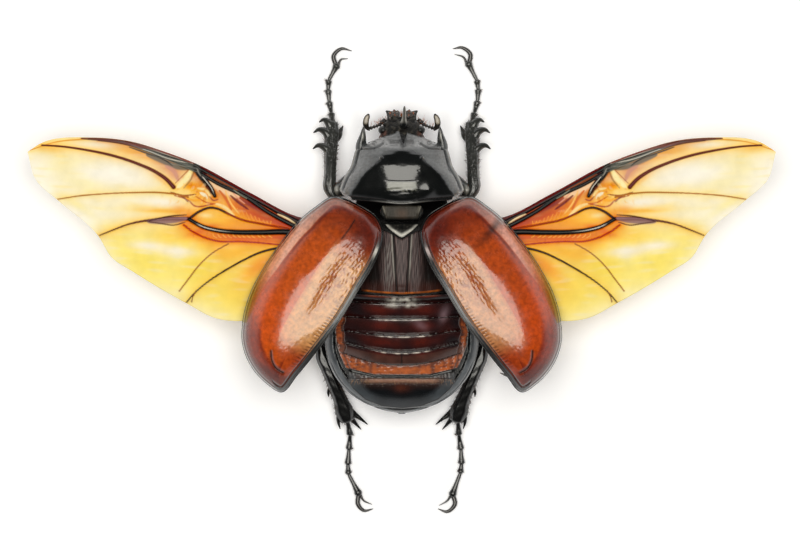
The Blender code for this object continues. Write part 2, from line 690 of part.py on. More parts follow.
def hindwing(side_name, side):
    """A membrane whose veins are ridges raised in its own surface."""
    leading = [tuple(p) for p in smooth(WING_LEADING, 26)]
    trailing = [tuple(p) for p in smooth(WING_TRAILING, 30)]
    outline = leading[:-1] + trailing
    paths = []
    lines = []
    for width, height, course in VEINS.values():
        length = sum(math.dist(a, b) for a, b in zip(course, course[1:]))
        middle = smooth(course, max(3, round(length / 4.4) + 1))
        paths.append((width, height, [Vector(p) for p in middle]))
        for offset in (-0.5, 0.0, 0.5):
            line = []
            for i, point in enumerate(middle):
                run = middle[min(i + 1, len(middle) - 1)] - middle[max(i - 1, 0)]
                run = run / np.linalg.norm(run)
                place = point + offset * width * np.array((-run[1], run[0]))
                line.append((float(place[0]), float(place[1])))
            inside_run = [p for p in line if inside(Vector(p), outline)]
            if len(inside_run) > 1:
                lines.append(inside_run)

    def ridge(x, y):
        spot = Vector((x, y))
        best = 0.0
        for width, height, middle in paths:
            for a, b in zip(middle, middle[1:]):
                run = b - a
                share = min(max((spot - a).dot(run) / run.length_squared, 0.0), 1.0)
                distance = (spot - a - run * share).length
                best = max(best, height * (1.0 - distance / (0.5 * width)))
        return best

    def top(x, y):
        return wing_height(x, y) + 0.5 * MEMBRANE_THICK + ridge(x * side, y)

    def bottom(x, y):
        return wing_height(x, y) - 0.5 * MEMBRANE_THICK - 0.5 * ridge(x * side, y)

    outline = [(x * side, y) for x, y in outline]
    lines = [[(x * side, y) for x, y in line] for line in lines]
    return plate("hindwing_" + side_name, outline, lines, 5.5, top, bottom, "membrane")


def back_plates():
    """The plates of the back between the wing covers, and those of the abdomen."""

    def crown(height, spread):
        return lambda x, y: height - spread * x * x

    def metanotum_top(x, y):
        furrow = abs(x) - 1.3 + 0.05 * (y - 7.0)
        return METANOTUM_TOP - 0.03 * x * x - 0.5 * math.exp(-(furrow / 0.5) ** 2)

    def tergite_top(x, y):
        lines = [-2.8] + TERGITE_LINES + [-18.6]
        roll = 0.0
        for front, rear in zip(lines, lines[1:]):
            if rear <= y <= front:
                roll = TERGITE_ROLL * math.sin(math.pi * (front - y) / (front - rear))
        tail = max(0.0, -15.0 - y)
        return TERGITE_TOP + roll - 0.013 * x * x - 0.05 * tail ** 1.5

    def pygidium_top(x, y):
        back = -17.8 - y
        return PYGIDIUM_TOP - 0.22 * back - 0.07 * back * back - 0.016 * x * x

    made = {}
    front = both_halves(MESONOTUM)
    made["mesonotum"] = plate("mesonotum", front, [], 1.6, crown(MESONOTUM_TOP, 0.03),
                              lambda x, y: PLATE_BOTTOM, "brown")
    shield = both_halves(SCUTELLUM)
    made["scutellum"] = plate("scutellum", shield, [], 1.3, crown(SCUTELLUM_TOP, 0.04),
                              lambda x, y: PLATE_BOTTOM, "black")
    furrows = [[(s * (1.3 - 0.05 * (y - 7.0)), y) for y in (6.6, 4.6, 2.6, 0.6, -1.6)]
               for s in (-1.0, 1.0)]
    made["metanotum"] = plate("metanotum", both_halves(METANOTUM), furrows, 2.2,
                              metanotum_top, lambda x, y: PLATE_BOTTOM, "brown")
    segments = [tuple(p) for p in smooth(TERGITES, 22)]
    segments[0] = (0.0, TERGITES[0][1])
    segments[-1] = (0.0, TERGITES[-1][1])
    joints = []
    bands = TERGITE_LINES + [0.5 * (a + b) for a, b in zip([-2.8] + TERGITE_LINES,
                                                         TERGITE_LINES + [-18.6])]
    for y in bands:
        reach = max(x for x, y_edge in segments if abs(y_edge - y) < 1.6) - 1.0
        joints.append([(reach * k / 4.0, y - 0.004 * (reach * k / 4.0) ** 2)
                       for k in range(-4, 5)])
    made["tergites"] = plate("tergites", both_halves(segments), joints, 3.2,
                             tergite_top, lambda x, y: 9.6 - 0.01 * x * x, "tergite")
    tail = both_halves([tuple(p) for p in smooth(PYGIDIUM, 12)][:-1] + [PYGIDIUM[-1]])
    made["pygidium"] = plate("pygidium", tail, [], 2.2, pygidium_top,
                             lambda x, y: pygidium_top(x, y) - PYGIDIUM_THICK, "black")
    return made


def leg(leg_name, side_name, sizes):
    """Femur, tibia with its teeth, foot of five segments, and claws."""
    side = SIDES[side_name]
    label = leg_name + "_" + side_name
    femur = tube("femur_" + label, mirrored(sizes["femur"], side), 7, 8, "black")
    shin = tube("tibia_" + label, mirrored(sizes["tibia"], side), 8, 8, "black")
    teeth = []
    for points in sizes["teeth"]:
        teeth.append(spike("tooth", mirrored(points, side), sizes["tooth_radius"], "black"))
    fuse(shin, teeth)
    clear(shin, femur)
    pose = FEET[(leg_name, side_name)]
    joints = mirrored(pose["tarsus"], side)
    start_height = sizes["tibia"][-1][2]
    rows = []
    for i, (a, b) in enumerate(zip(joints, joints[1:])):
        last = i == len(joints) - 2
        end = LAST_SEGMENT_END if last else SEGMENT_END
        for share, radius in ((0.04, SEGMENT_NECK), (0.55, 0.5 * (SEGMENT_NECK + end)),
                              (0.86, end), (0.97, 0.8 * end)):
            x = a[0] + share * (b[0] - a[0])
            y = a[1] + share * (b[1] - a[1])
            lift = max(0.0, 1.0 - (i + share) / 1.5)
            z = TARSUS_LEVEL + (start_height - TARSUS_LEVEL) * lift
            rows.append((x, y, z, radius, radius * 0.95))
    foot = tube("tarsus_" + label, rows, len(rows), 6, "black", even=False)
    clear(foot, shin)
    claws = []
    for course in pose["claws"]:
        bent = smooth(mirrored(course, side), 6)
        rows = []
        for i, (x, y) in enumerate(bent):
            share = i / (len(bent) - 1)
            level = CLAW_LEVEL - 0.1 * share
            rows.append((x, y, level, CLAW_RADIUS * (1.0 - 0.78 * share)))
        claws.append(tube("claws_" + label, rows, len(rows), 6, "black", even=False))
    hooks = fuse(claws[0], claws[1:])
    clear(hooks, foot)
    return {"femur": femur, "tibia": shin, "tarsus": foot, "claws": hooks}


def antenna(side_name, side):
    """Stem and a club of leaves, swung forward."""
    stem = tube("antenna_" + side_name, mirrored(ANTENNA_STEM, side), 6, 6, "black")
    leaves = []
    for k in range(CLUB_LEAVES):
        lift = CLUB_LEAF_STEP * (k - 1)
        rows = [(x, y, z + lift, r * 0.95, r * 0.55) for x, y, z, r in mirrored(CLUB, side)]
        rows[0] = mirrored([(CLUB[0][0], CLUB[0][1], CLUB[0][2] + 0.3 * lift, 0.35, 0.3)], side)[0]
        leaves.append(tube("leaf", rows, 5, 6, "black"))
    return fuse(stem, leaves)


def main():
    for item in list(bpy.data.objects):
        bpy.data.objects.remove(item)
    sternum = body_loft("sternum", STERNUM, 12, 20, "black")
    abdomen = body_loft("abdomen", ABDOMEN, 14, 24, "black")
    pronotum = body_loft("pronotum", PRONOTUM, 17, 26, "black", table=True)
    prosternum = body_loft("prosternum", PROSTERNUM, 7, 14, "black")
    head = body_loft("head", HEAD, 9, 18, "black")
    clear(pronotum, prosternum)
    clear(head, prosternum, pronotum)
    clear(sternum, prosternum, pronotum)
    plates = back_plates()
    clear(abdomen, plates["tergites"], sternum)
    clear(abdomen, plates["pygidium"], gap=1.4 * GAP)
    clear(plates["mesonotum"], sternum, pronotum)
    clear(plates["scutellum"], sternum, plates["mesonotum"])
    clear(plates["metanotum"], sternum, plates["scutellum"])
    clear(plates["tergites"], sternum, plates["metanotum"], plates["pygidium"])
    for side_name, side in SIDES.items():
        legs = {}
        for leg_name, sizes in (("fore", FORE), ("middle", MIDDLE), ("hind", HIND)):
            legs[leg_name] = leg(leg_name, side_name, sizes)
        clear(legs["fore"]["femur"], prosternum, pronotum)
        clear(legs["middle"]["femur"], sternum)
        clear(legs["hind"]["femur"], sternum, abdomen)
        horn = tube("horn_front_" + side_name, mirrored(FRONT_HORN, side), 6, 8, "black")
        clear(horn, pronotum)
        knob = tube("horn_upper_" + side_name, mirrored(UPPER_HORN, side), 5, 8, "black")
        clear(knob, pronotum)
        eye = ball("eye_" + side_name, (side * EYE_CENTRE[0],) + EYE_CENTRE[1:], EYE_RADII,
                   7, 10, "eye")
        clear(eye, head, pronotum)
        outline = [(x * side, y) for x, y in MANDIBLE]
        jaw = plate("mandible_" + side_name, outline, [], 1.5,
                    lambda x, y: MANDIBLE_Z[1], lambda x, y: MANDIBLE_Z[0], "black")
        clear(jaw, head)
        feeler = antenna(side_name, side)
        clear(feeler, head, eye)
        cover = elytron(side_name, side)
        clear(cover, sternum, plates["mesonotum"], plates["metanotum"], pronotum)
        wing = hindwing(side_name, side)
        clear(wing, sternum)
    horn = tube("head_horn", HEAD_HORN, 8, 8, "black", up=(0.0, 1.0, 0.0))
    clear(horn, head, pronotum)
    palps = tube("palps", PALP, 6, 6, "black")
    other = tube("palp", mirrored(PALP, -1.0), 6, 6, "black")
    lip = ball("lip", (0.0, 27.6, 3.7), (2.0, 1.6, 0.7), 6, 10, "black")
    fuse(palps, [other, lip])
    clear(palps, head)


main()
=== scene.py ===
# %% [markdown]
# # A spread rhinoceros beetle
#
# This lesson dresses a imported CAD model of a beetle, 134 mm from wing tip to wing tip.
# The CAD gives the place and size of each part. Each cell below builds one part again
# as a fine mesh, gives it a finish, and says which CAD node it stands for.

import math

import bmesh
import bpy
import numpy as np
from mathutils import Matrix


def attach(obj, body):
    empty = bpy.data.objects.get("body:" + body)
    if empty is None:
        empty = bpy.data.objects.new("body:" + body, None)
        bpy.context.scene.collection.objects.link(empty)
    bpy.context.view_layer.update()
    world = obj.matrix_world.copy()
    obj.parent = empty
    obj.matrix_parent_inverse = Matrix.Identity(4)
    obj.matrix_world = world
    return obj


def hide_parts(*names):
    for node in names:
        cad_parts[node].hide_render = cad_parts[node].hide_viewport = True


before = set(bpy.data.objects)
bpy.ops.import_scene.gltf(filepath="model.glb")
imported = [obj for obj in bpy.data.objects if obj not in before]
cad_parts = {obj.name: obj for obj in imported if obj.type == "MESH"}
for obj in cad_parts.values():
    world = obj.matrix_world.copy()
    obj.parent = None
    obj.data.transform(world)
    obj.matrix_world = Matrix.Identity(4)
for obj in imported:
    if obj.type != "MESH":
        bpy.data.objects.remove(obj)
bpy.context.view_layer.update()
print("nodes:", len(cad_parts))

# %% [markdown]
# ## Units and colours
#
# All sizes are millimetres, because a beetle is small, and one factor turns them into
# Blender's metres. Colours are written as sRGB hex, as a painter would pick them, and one
# function makes them linear, because shaders add up light and not screen values.

# %% Units and colours
MM = 0.001
SIDES = {"right": 1.0, "left": -1.0}


def linear(code):
    """A linear RGB colour from sRGB hex."""
    values = np.array([int(code[i:i + 2], 16) for i in (1, 3, 5)]) / 255.0
    return np.where(values <= 0.04045, values / 12.92, ((values + 0.055) / 1.055) ** 2.4)


print("chestnut is", linear("#8A3414").round(3))

# %% [markdown]
# ## Curves, grids and tubes
#
# Cuticle is thin plates and tubes, so three shapes make nearly everything: a slab with
# two faces, a skin over closed rings, and a tube along a curve. They are worked out with
# numpy as whole arrays, because the wings alone have a hundred thousand points.


# %% Curves and masks
# how finely a curve is drawn between two of its points
SPAN_STEPS = 24


def smooth(points, count, closed=False):
    """Rows spaced evenly on a smooth curve through the given rows."""
    knots = np.array(points, dtype=float)
    if closed:
        knots = np.vstack([knots, knots[:1]])
    spans = np.linalg.norm(np.diff(knots, axis=0), axis=1)[:, None]
    slopes = np.diff(knots, axis=0) / spans
    before = np.vstack([slopes[-1:] if closed else slopes[:1], slopes])
    after = np.vstack([slopes, slopes[:1] if closed else slopes[-1:]])
    near = np.vstack([spans[-1:] if closed else [[1.0]], spans])
    far = np.vstack([spans, spans[:1] if closed else [[1.0]]])
    tangents = (before * far + after * near) / (near + far)
    t = np.arange(SPAN_STEPS)[None, :, None] / SPAN_STEPS
    fine = (2 * t ** 3 - 3 * t ** 2 + 1) * knots[:-1, None]
    fine = fine + (3 * t ** 2 - 2 * t ** 3) * knots[1:, None]
    fine = fine + (t ** 3 - 2 * t ** 2 + t) * (tangents[:-1] * spans)[:, None]
    fine = fine + (t ** 3 - t ** 2) * (tangents[1:] * spans)[:, None]
    fine = np.vstack([fine.reshape(-1, knots.shape[1]), knots[-1:]])
    steps = np.linalg.norm(np.diff(fine, axis=0), axis=1)
    travelled = np.concatenate([[0.0], np.cumsum(steps)])
    stops = np.linspace(0.0, travelled[-1], count + 1 if closed else count)
    rows = np.stack([np.interp(stops, travelled, column) for column in fine.T], axis=1)
    return rows[:-1] if closed else rows


def ease(value, low, high):
    """0 below low, 1 above high, and a soft step between; low may be above high."""
    t = np.clip((value - low) / (high - low), 0.0, 1.0)
    return t * t * (3.0 - 2.0 * t)


def bump(value, centre, width):
    """A soft hill, 1 at its centre."""
    return np.exp(-((value - centre) / width) ** 2)


def patch(x, y, centre, reach, turn=0.0):
    """A soft oval mask, turned by an angle in degrees."""
    c = math.cos(math.radians(turn))
    s = math.sin(math.radians(turn))
    u = ((x - centre[0]) * c + (y - centre[1]) * s) / reach[0]
    v = ((y - centre[1]) * c - (x - centre[0]) * s) / reach[1]
    return np.exp(-(u * u + v * v))


def ripple(x, y, pitch, seed, waves=9):
    """A smooth random field near -1 to 1, from sine waves that cross at random."""
    rng = np.random.default_rng(seed)
    total = np.zeros(np.broadcast(x, y).shape)
    for _ in range(waves):
        angle = rng.uniform(0.0, math.pi)
        size = 2.0 * math.pi / (pitch * rng.uniform(0.7, 1.5))
        shift = rng.uniform(0.0, 6.3)
        total += np.sin(size * (x * math.cos(angle) + y * math.sin(angle)) + shift)
    return total / math.sqrt(2.0 * waves)


def to_line(x, y, line):
    """Distance from points to a polyline, and how far along it the nearest spot lies."""
    best = np.full(np.shape(x), 1e9)
    share = np.zeros(np.shape(x))
    for i, (a, b) in enumerate(zip(line[:-1], line[1:])):
        run = b[:2] - a[:2]
        t = ((x - a[0]) * run[0] + (y - a[1]) * run[1]) / (run @ run)
        t = np.clip(t, 0.0, 1.0)
        distance = np.hypot(x - a[0] - t * run[0], y - a[1] - t * run[1])
        nearer = distance < best
        best = np.where(nearer, distance, best)
        share = np.where(nearer, (i + t) / (len(line) - 1), share)
    return best, share


def near_line(x, y, line, width):
    """A soft mask along a polyline."""
    return bump(to_line(x, y, np.array(line))[0], 0.0, width)


def blend(colour, other, mask):
    """One colour, or an array of them, painted over with another by a mask."""
    mask = np.asarray(mask)[..., None]
    return colour * (1.0 - mask) + other * mask


def painted(colour, *coats):
    """A colour under coats, each another colour and its mask. Colours may be sRGB hex."""
    if isinstance(colour, str):
        colour = linear(colour)
    for other, mask in coats:
        colour = blend(colour, linear(other) if isinstance(other, str) else other, mask)
    return colour


# %% Grids, skins and tubes
def xyz(x, y, z):
    """Points from their three coordinates."""
    return np.stack(np.broadcast_arrays(x, y, z), axis=-1)


def quads(rows, columns, wrap=False):
    """Faces between the neighbouring rows of a grid."""
    count = columns if wrap else columns - 1
    i, k = np.meshgrid(np.arange(rows - 1), np.arange(count), indexing="ij")
    after = (k + 1) % columns
    corners = [i * columns + k, i * columns + after,
               (i + 1) * columns + after, (i + 1) * columns + k]
    return np.stack(corners, axis=-1).reshape(-1, 4)


def around(rows, columns):
    """The points round the rim of a grid, in order."""
    index = np.arange(rows * columns).reshape(rows, columns)
    return np.concatenate([index[0, :-1], index[:-1, -1], index[-1, :0:-1], index[:0:-1, 0]])


# a plate's bottom is hidden, so it keeps only one row and one column in three
SKIP = 3


def slab(top, bottom):
    """Points and faces of a closed plate between two grids of points."""
    bottom = bottom[::SKIP, ::SKIP]
    total = top.shape[0] * top.shape[1]
    rim = around(*top.shape[:2])
    low_rim = total + around(*bottom.shape[:2])
    faces = quads(*top.shape[:2]).tolist()
    faces += (total + quads(*bottom.shape[:2])[:, ::-1]).tolist()
    for i, corner in enumerate(low_rim):
        upper = [rim[(SKIP * i + k) % len(rim)] for k in range(SKIP + 1)]
        faces.append([*upper, low_rim[(i + 1) % len(low_rim)], corner])
    return np.vstack([top.reshape(-1, 3), bottom.reshape(-1, 3)]), faces


def both_faces(top_values, low_values=None):
    """Point values for a slab. The bottom takes the top's where it gets none of its own."""
    below = top_values[::SKIP, ::SKIP]
    if low_values is not None:
        below = np.broadcast_to(painted(low_values), below.shape)
    shape = (-1,) + top_values.shape[2:]
    return np.concatenate([top_values.reshape(shape), below.reshape(shape)])


def skin(rings):
    """Points and faces of a closed skin over rings, with a point at either end."""
    count, sides = rings.shape[:2]
    ends = np.stack([rings[0].mean(axis=0), rings[-1].mean(axis=0)])
    total = count * sides
    faces = quads(count, sides, wrap=True).tolist()
    for k in range(sides):
        after = (k + 1) % sides
        faces.append([after, k, total])
        faces.append([total - sides + k, total - sides + after, total + 1])
    return np.vstack([rings.reshape(-1, 3), ends]), faces


# how wide a tube's rounded end is at each of its rings, and how far it stands out
DOME = np.sin(np.radians([12.0, 35.0, 58.0, 78.0]))
DOME_DEPTH = 0.6


def tube(rows, rings, sides, up=(0.0, 0.0, 1.0), relief=None):
    """Points and faces of a tube with domed ends.

    A row is x, y, z, half width and, where unlike, half height. The relief is a function
    of how far along and the angle round, and gives a height over the tube.
    """
    rows = [tuple(row) + (row[3],) * (5 - len(row)) for row in rows]
    line = smooth(rows, rings)
    along = np.gradient(line[:, :3], axis=0)
    along /= np.linalg.norm(along, axis=1)[:, None]
    side = np.cross(along, np.array(up, dtype=float))
    side /= np.linalg.norm(side, axis=1)[:, None]
    lift = np.cross(side, along)
    more = len(DOME)
    line, side, lift = (np.pad(values, ((more, more), (0, 0)), mode="edge")
                        for values in (line, side, lift))
    bulge = DOME_DEPTH * np.sqrt((1.0 - DOME ** 2) / (1.0 - DOME[0] ** 2))
    line[:more, :3] -= (line[0, 3] * bulge)[:, None] * along[0]
    line[-more:, :3] += (line[-1, 3] * bulge[::-1])[:, None] * along[-1]
    share = np.pad(np.linspace(0.0, 1.0, rings), more, mode="edge")
    grow = np.concatenate([DOME, np.ones(rings), DOME[::-1]])
    angle = 2.0 * math.pi * (np.arange(sides) + 0.5) / sides
    wide = line[:, 3:4] * grow[:, None]
    high = line[:, 4:5] * grow[:, None]
    if relief is not None:
        added = relief(share[:, None], angle[None, :]) * grow[:, None]
        wide = wide + added
        high = high + added
    points = line[:, None, :3] + side[:, None] * (wide * np.cos(angle))[..., None]
    points = points + lift[:, None] * (high * np.sin(angle))[..., None]
    return skin(points)


# %% [markdown]
# ## Making a piece
#
# A form collects points, faces and paint. The paint is four attributes that the finishes
# read: tint is the colour of the cuticle, with painted highlights and painted shade in
# places, shine its roughness, veil its opacity and pits how punctured it is. Painting
# points from the same curves that shape them keeps colour and relief together, and it
# needs no image. A closed piece then gets outward faces, rides on the CAD body and
# stands for its nodes.


# %% A form and its piece
def placed(name, data):
    """A new object in the scene."""
    item = bpy.data.objects.new(name, data)
    bpy.context.scene.collection.objects.link(item)
    return item


class Form:
    """Points, faces and paint of a piece while it grows, in millimetres."""

    def __init__(self):
        self.points = []
        self.faces = []
        self.paint = {"tint": [], "shine": [], "veil": [], "pits": []}
        self.count = 0

    def add(self, shape, tint, shine=0.2, veil=1.0, pits=0.0, mirror=1.0):
        """Adds points and faces, with a colour, a roughness, an opacity and pits."""
        points, faces = shape
        tint = painted(tint)
        self.points.append(points * (mirror, 1.0, 1.0))
        self.faces += [[i + self.count for i in face] for face in faces]
        for key, value in (("tint", tint), ("shine", shine), ("veil", veil), ("pits", pits)):
            size = (len(points), 3) if key == "tint" else len(points)
            self.paint[key].append(np.broadcast_to(value, size))
        self.count += len(points)
        return self

    def make(self, name, material, slot, *nodes, unwrap=None):
        """Makes the piece, which stands for CAD nodes. A coat also gets its unwrap."""
        mesh = bpy.data.meshes.new(name)
        points = np.vstack(self.points) * MM
        mesh.from_pydata(points.tolist(), [], self.faces)
        for key, values in self.paint.items():
            values = np.concatenate(values).astype(np.float32)
            if key == "tint":
                layer = mesh.attributes.new(key, "FLOAT_COLOR", "POINT")
                values = np.hstack([values, np.ones((len(points), 1), np.float32)])
                layer.data.foreach_set("color", values.ravel())
            else:
                layer = mesh.attributes.new(key, "FLOAT", "POINT")
                layer.data.foreach_set("value", values)
        work = bmesh.new()
        work.from_mesh(mesh)
        bmesh.ops.recalc_face_normals(work, faces=work.faces)
        work.to_mesh(mesh)
        work.free()
        mesh.shade_smooth()
        if unwrap is not None:
            corner = np.zeros(len(mesh.loops), dtype=np.int32)
            mesh.loops.foreach_get("vertex_index", corner)
            layer = mesh.uv_layers.new(name="OFBake")
            layer.data.foreach_set("uv", unwrap[corner].astype(np.float32).ravel())
        mesh.materials.append(material)
        item = placed(name, mesh)
        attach(item, "root")
        if nodes:
            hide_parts(*nodes)
        print(name, len(mesh.polygons), "faces")
        return item


# %% [markdown]
# ## Adding nodes
#
# Every finish below is a small tree of shader nodes. One function adds a node of any
# kind, sets what is written in its settings and joins what feeds it, so a tree reads
# from top to bottom like a recipe. Noise, the points' paint and the Principled shader at
# the end come in most recipes, so each has a short function of its own.


# %% Functions for nodes
def add(tree, kind, settings=None, links=None):
    """A shader node with its settings, and the nodes or sockets that feed it."""
    made = tree.nodes.new("ShaderNode" + kind)
    for key, value in (settings or {}).items():
        if isinstance(key, int) or key in made.inputs:
            made.inputs[key].default_value = value
        else:
            setattr(made, key, value)
    for key, source in (links or {}).items():
        tree.links.new(getattr(source, "outputs", [source])[0], made.inputs[key])
    return made


def start_finish(name):
    """An empty material's tree."""
    material = bpy.data.materials.new(name)
    material.use_nodes = True
    material.node_tree.nodes.clear()
    return material, material.node_tree


def noise(tree, size, detail, where, distortion=0.0):
    """Smooth noise with features of a size in millimetres."""
    return add(tree, "TexNoise", {"Scale": 1.0 / (size * MM), "Detail": detail,
                                  "Distortion": distortion}, {"Vector": where})


def paint_of(tree, key):
    """What the points carry: a colour for tint, and a number for the other keys."""
    node = add(tree, "Attribute", {"attribute_name": key})
    return node.outputs["Color" if key == "tint" else "Fac"]


def end_finish(tree, settings, links):
    """The Principled shader and the output."""
    shader = add(tree, "BsdfPrincipled", settings, links)
    add(tree, "OutputMaterial", links={"Surface": shader})


# %% [markdown]
# ## The studio
#
# The beetle was photographed from straight above on a white sweep. A long lens 0.8 m up
# gives nearly parallel lines of sight. One broad softbox hangs over the insect, and its
# picture is the pale patch on every polished plate. The sky is dark round the softbox
# and bright near the horizon, because the steep sides of the black plates look grey. It
# is dimmer behind the tail, where the photograph's slopes are darker than at the head.

# %% Camera
CAMERA_HEIGHT = 0.8
LOOK_AT = (-0.31 * MM, 0.70 * MM, 10.0 * MM)
VIEW_WIDTH = 144.0 * MM
lens = bpy.data.cameras.new("camera")
lens.sensor_width = 36.0
lens.lens = lens.sensor_width * CAMERA_HEIGHT / VIEW_WIDTH
camera = placed("camera", lens)
camera.location = (LOOK_AT[0], LOOK_AT[1], LOOK_AT[2] + CAMERA_HEIGHT)
lens.clip_start = 0.01
bpy.context.scene.camera = camera
bpy.context.scene.view_settings.view_transform = "Standard"
print("lens", round(lens.lens), "mm")

# %% Softbox and sky
SOFTBOX_HEIGHT = 0.6
# half the angles that the softbox fills, seen from the beetle, in degrees
SOFTBOX_ANGLES = (25.0, 21.0)
SOFTBOX_POWER = 4.75
WARM_WHITE = (1.0, 0.975, 0.9)
light = bpy.data.lights.new("softbox", "AREA")
light.shape = "RECTANGLE"
light.size, light.size_y = (2.0 * SOFTBOX_HEIGHT * math.tan(math.radians(angle))
                            for angle in SOFTBOX_ANGLES)
light.energy = SOFTBOX_POWER * math.pi * light.size * light.size_y
light.color = WARM_WHITE
softbox = placed("softbox", light)
softbox.location = (-0.01, 0.02, SOFTBOX_HEIGHT)
softbox.visible_camera = False

# height, from the horizon up to straight overhead, and brightness
SKY = [(0.0, 1.15), (0.22, 1.1), (0.36, 0.75), (0.44, 0.2), (0.56, 0.06), (1.0, 0.04)]
world = bpy.data.worlds.new("studio")
bpy.context.scene.world = world
world.use_nodes = True
tree = world.node_tree
tree.nodes.clear()
parts = add(tree, "SeparateXYZ", links={0: add(tree, "TexCoord").outputs["Generated"]})
ramp = add(tree, "ValToRGB", links={0: parts.outputs["Z"]})
while len(ramp.color_ramp.elements) < len(SKY):
    ramp.color_ramp.elements.new(0.5)
for stop, (place, value) in zip(ramp.color_ramp.elements, SKY):
    stop.position = place
    stop.color = (value, value, value, 1.0)
rearward = add(tree, "MapRange", {1: -0.9, 2: 0.6, 3: 0.6, 4: 1.15}, {0: parts.outputs["Y"]})
sky = add(tree, "Background", links={"Color": ramp, "Strength": rearward})
add(tree, "OutputWorld", links={"Surface": sky})
print("softbox", round(light.size, 3), "by", round(light.size_y, 3), "m")

# %% [markdown]
# ## The light table
#
# The floor is a sheet of opal acrylic, lit a little from below, as insects are often
# photographed: it takes the grey out of the shadows. It only has to be white and matte,
# with a faint tooth, so a large disc with a light noise on it is enough.

# %% Opal acrylic
GLOW = 0.14
material, tree = start_finish("opal_acrylic")
tooth = noise(tree, 0.8, 2.0, add(tree, "TexCoord").outputs["Object"])
white = add(tree, "Mix", {"data_type": "RGBA", 6: (*linear("#F6F7FC"), 1.0),
                          7: (*linear("#FAFBFF"), 1.0)}, {0: tooth})
end_finish(tree, {"Roughness": 0.9, "IOR": 1.2, "Emission Strength": GLOW,
                  "Emission Color": (1.0, 0.98, 0.96, 1.0)},
           {"Base Color": white.outputs[2]})
FLOOR_REACH = 2.5
work = bmesh.new()
bmesh.ops.create_circle(work, cap_ends=True, segments=96, radius=FLOOR_REACH)
mesh = bpy.data.meshes.new("sweep")
work.to_mesh(mesh)
work.free()
mesh.materials.append(material)
sweep = placed("sweep", mesh)
print("sweep", 2 * FLOOR_REACH, "m across")

# %% [markdown]
# ## Polished cuticle
#
# Beetle armour is sclerotised chitin: hardened, tanned layers with a refractive index
# near 1.56, under a waxy skin that moulting leaves smooth. The eye sees a dark body
# colour with a clear glossy layer over it. The Principled shader's coat is that layer.
# Dust and wear dull a dried specimen, so the coat's IOR is set lower than chitin's, where
# the softbox's picture is as bright as in the photograph.


# %% Cuticle finish
def cuticle(name, coat, ior, mottle, grain, depth, pitch=0.35, stretch=(1.0, 1.0, 1.0)):
    """Hardened chitin under wax.

    Coat holds the coat's IOR and roughness. Mottle, grain and pitch are the sizes of the
    clouds, the tooth and the punctures, and depth is the tooth's height, all in mm.
    """
    material, tree = start_finish(name)
    place = add(tree, "TexCoord").outputs["Object"]
    drawn = add(tree, "Mapping", {"Scale": stretch}, {"Vector": place})
    shade = add(tree, "MapRange", {1: 0.3, 2: 0.7, 3: 0.72, 4: 1.25},
                {0: noise(tree, mottle, 4.0, drawn)})
    body = add(tree, "VectorMath", {"operation": "SCALE"},
               {0: paint_of(tree, "tint"), "Scale": shade})
    tooth = noise(tree, grain, 3.0, drawn, 0.8)
    relief = add(tree, "Bump", {"Distance": depth * MM}, {"Height": tooth})
    cells = add(tree, "TexVoronoi", {"Scale": 1.0 / (pitch * MM)}, {"Vector": drawn})
    hole = add(tree, "MapRange", {1: 0.1, 2: 0.42, "interpolation_type": "SMOOTHSTEP"},
               {0: cells.outputs["Distance"]})
    holes = add(tree, "Math", {"operation": "MULTIPLY"}, {0: hole, 1: paint_of(tree, "pits")})
    relief = add(tree, "Bump", {"Distance": 0.12 * pitch * MM},
                 {"Height": holes, "Normal": relief})
    dull = add(tree, "MapRange", {3: 0.8, 4: 1.2}, {0: tooth})
    rough = add(tree, "Math", {"operation": "MULTIPLY"}, {0: paint_of(tree, "shine"), 1: dull})
    end_finish(tree, {"IOR": ior, "Coat Weight": 1.0, "Coat IOR": coat[0],
                      "Coat Roughness": coat[1]},
               {"Base Color": body, "Roughness": rough, "Normal": relief,
                "Coat Normal": relief})
    print("finish", name)
    return material


# %% [markdown]
# ## Wing covers
#
# An elytron is a fore wing turned to armour: a vaulted shell, thin at the edge, with a
# raised strip where the two covers meet when closed. It could be a subdivided plate
# pushed up by hand. A vault worked out from its outline is better here, because the
# strip, the rim and the colour can follow the margins at a real distance in millimetres.

# %% Vault of a wing cover
COVER_OUTLINE = [
    (12.3, 14.8), (15.4, 13.0), (18.9, 10.0), (21.9, 6.3), (24.8, 2.0),
    (27.2, -2.6), (28.5, -7.6), (28.6, -11.2), (27.2, -15.2), (24.4, -18.5),
    (21.6, -20.2), (18.6, -17.0), (14.7, -12.2), (11.0, -7.2), (7.6, -1.6),
    (5.0, 2.8), (3.6, 6.4), (3.4, 8.8), (4.4, 11.0), (7.3, 13.1), (9.8, 14.3),
]
COVER_HINGE = np.array([8.2, 12.9])
COVER_TIP = np.array([22.6, -20.0])
# heights of both ends, and of the crest and the two margins half way between them
COVER_FRONT, COVER_REAR = 14.2, 12.6
COVER_CREST, COVER_INNER, COVER_OUTER = 19.4, 18.9, 12.2
# how far across the crest lies
CREST_AT = 0.3
COVER_ROWS, COVER_COLUMNS = 301, 190

cover_axis = (COVER_TIP - COVER_HINGE) / np.linalg.norm(COVER_TIP - COVER_HINGE)
cover_side = np.array([-cover_axis[1], cover_axis[0]])
cover_rim = smooth(COVER_OUTLINE, 400, closed=True) - COVER_HINGE
rim_along = cover_rim @ cover_axis
rim_out = cover_rim @ cover_side


def cover_chord(s):
    """Where a line across the cover meets its inner and its outer margin."""
    a, b = np.roll(rim_along, 1), rim_along
    cut = (a > s) != (b > s)
    share = (s - a[cut]) / (b[cut] - a[cut])
    before = np.roll(rim_out, 1)[cut]
    hits = before + share * (rim_out[cut] - before)
    return hits.min(), hits.max()


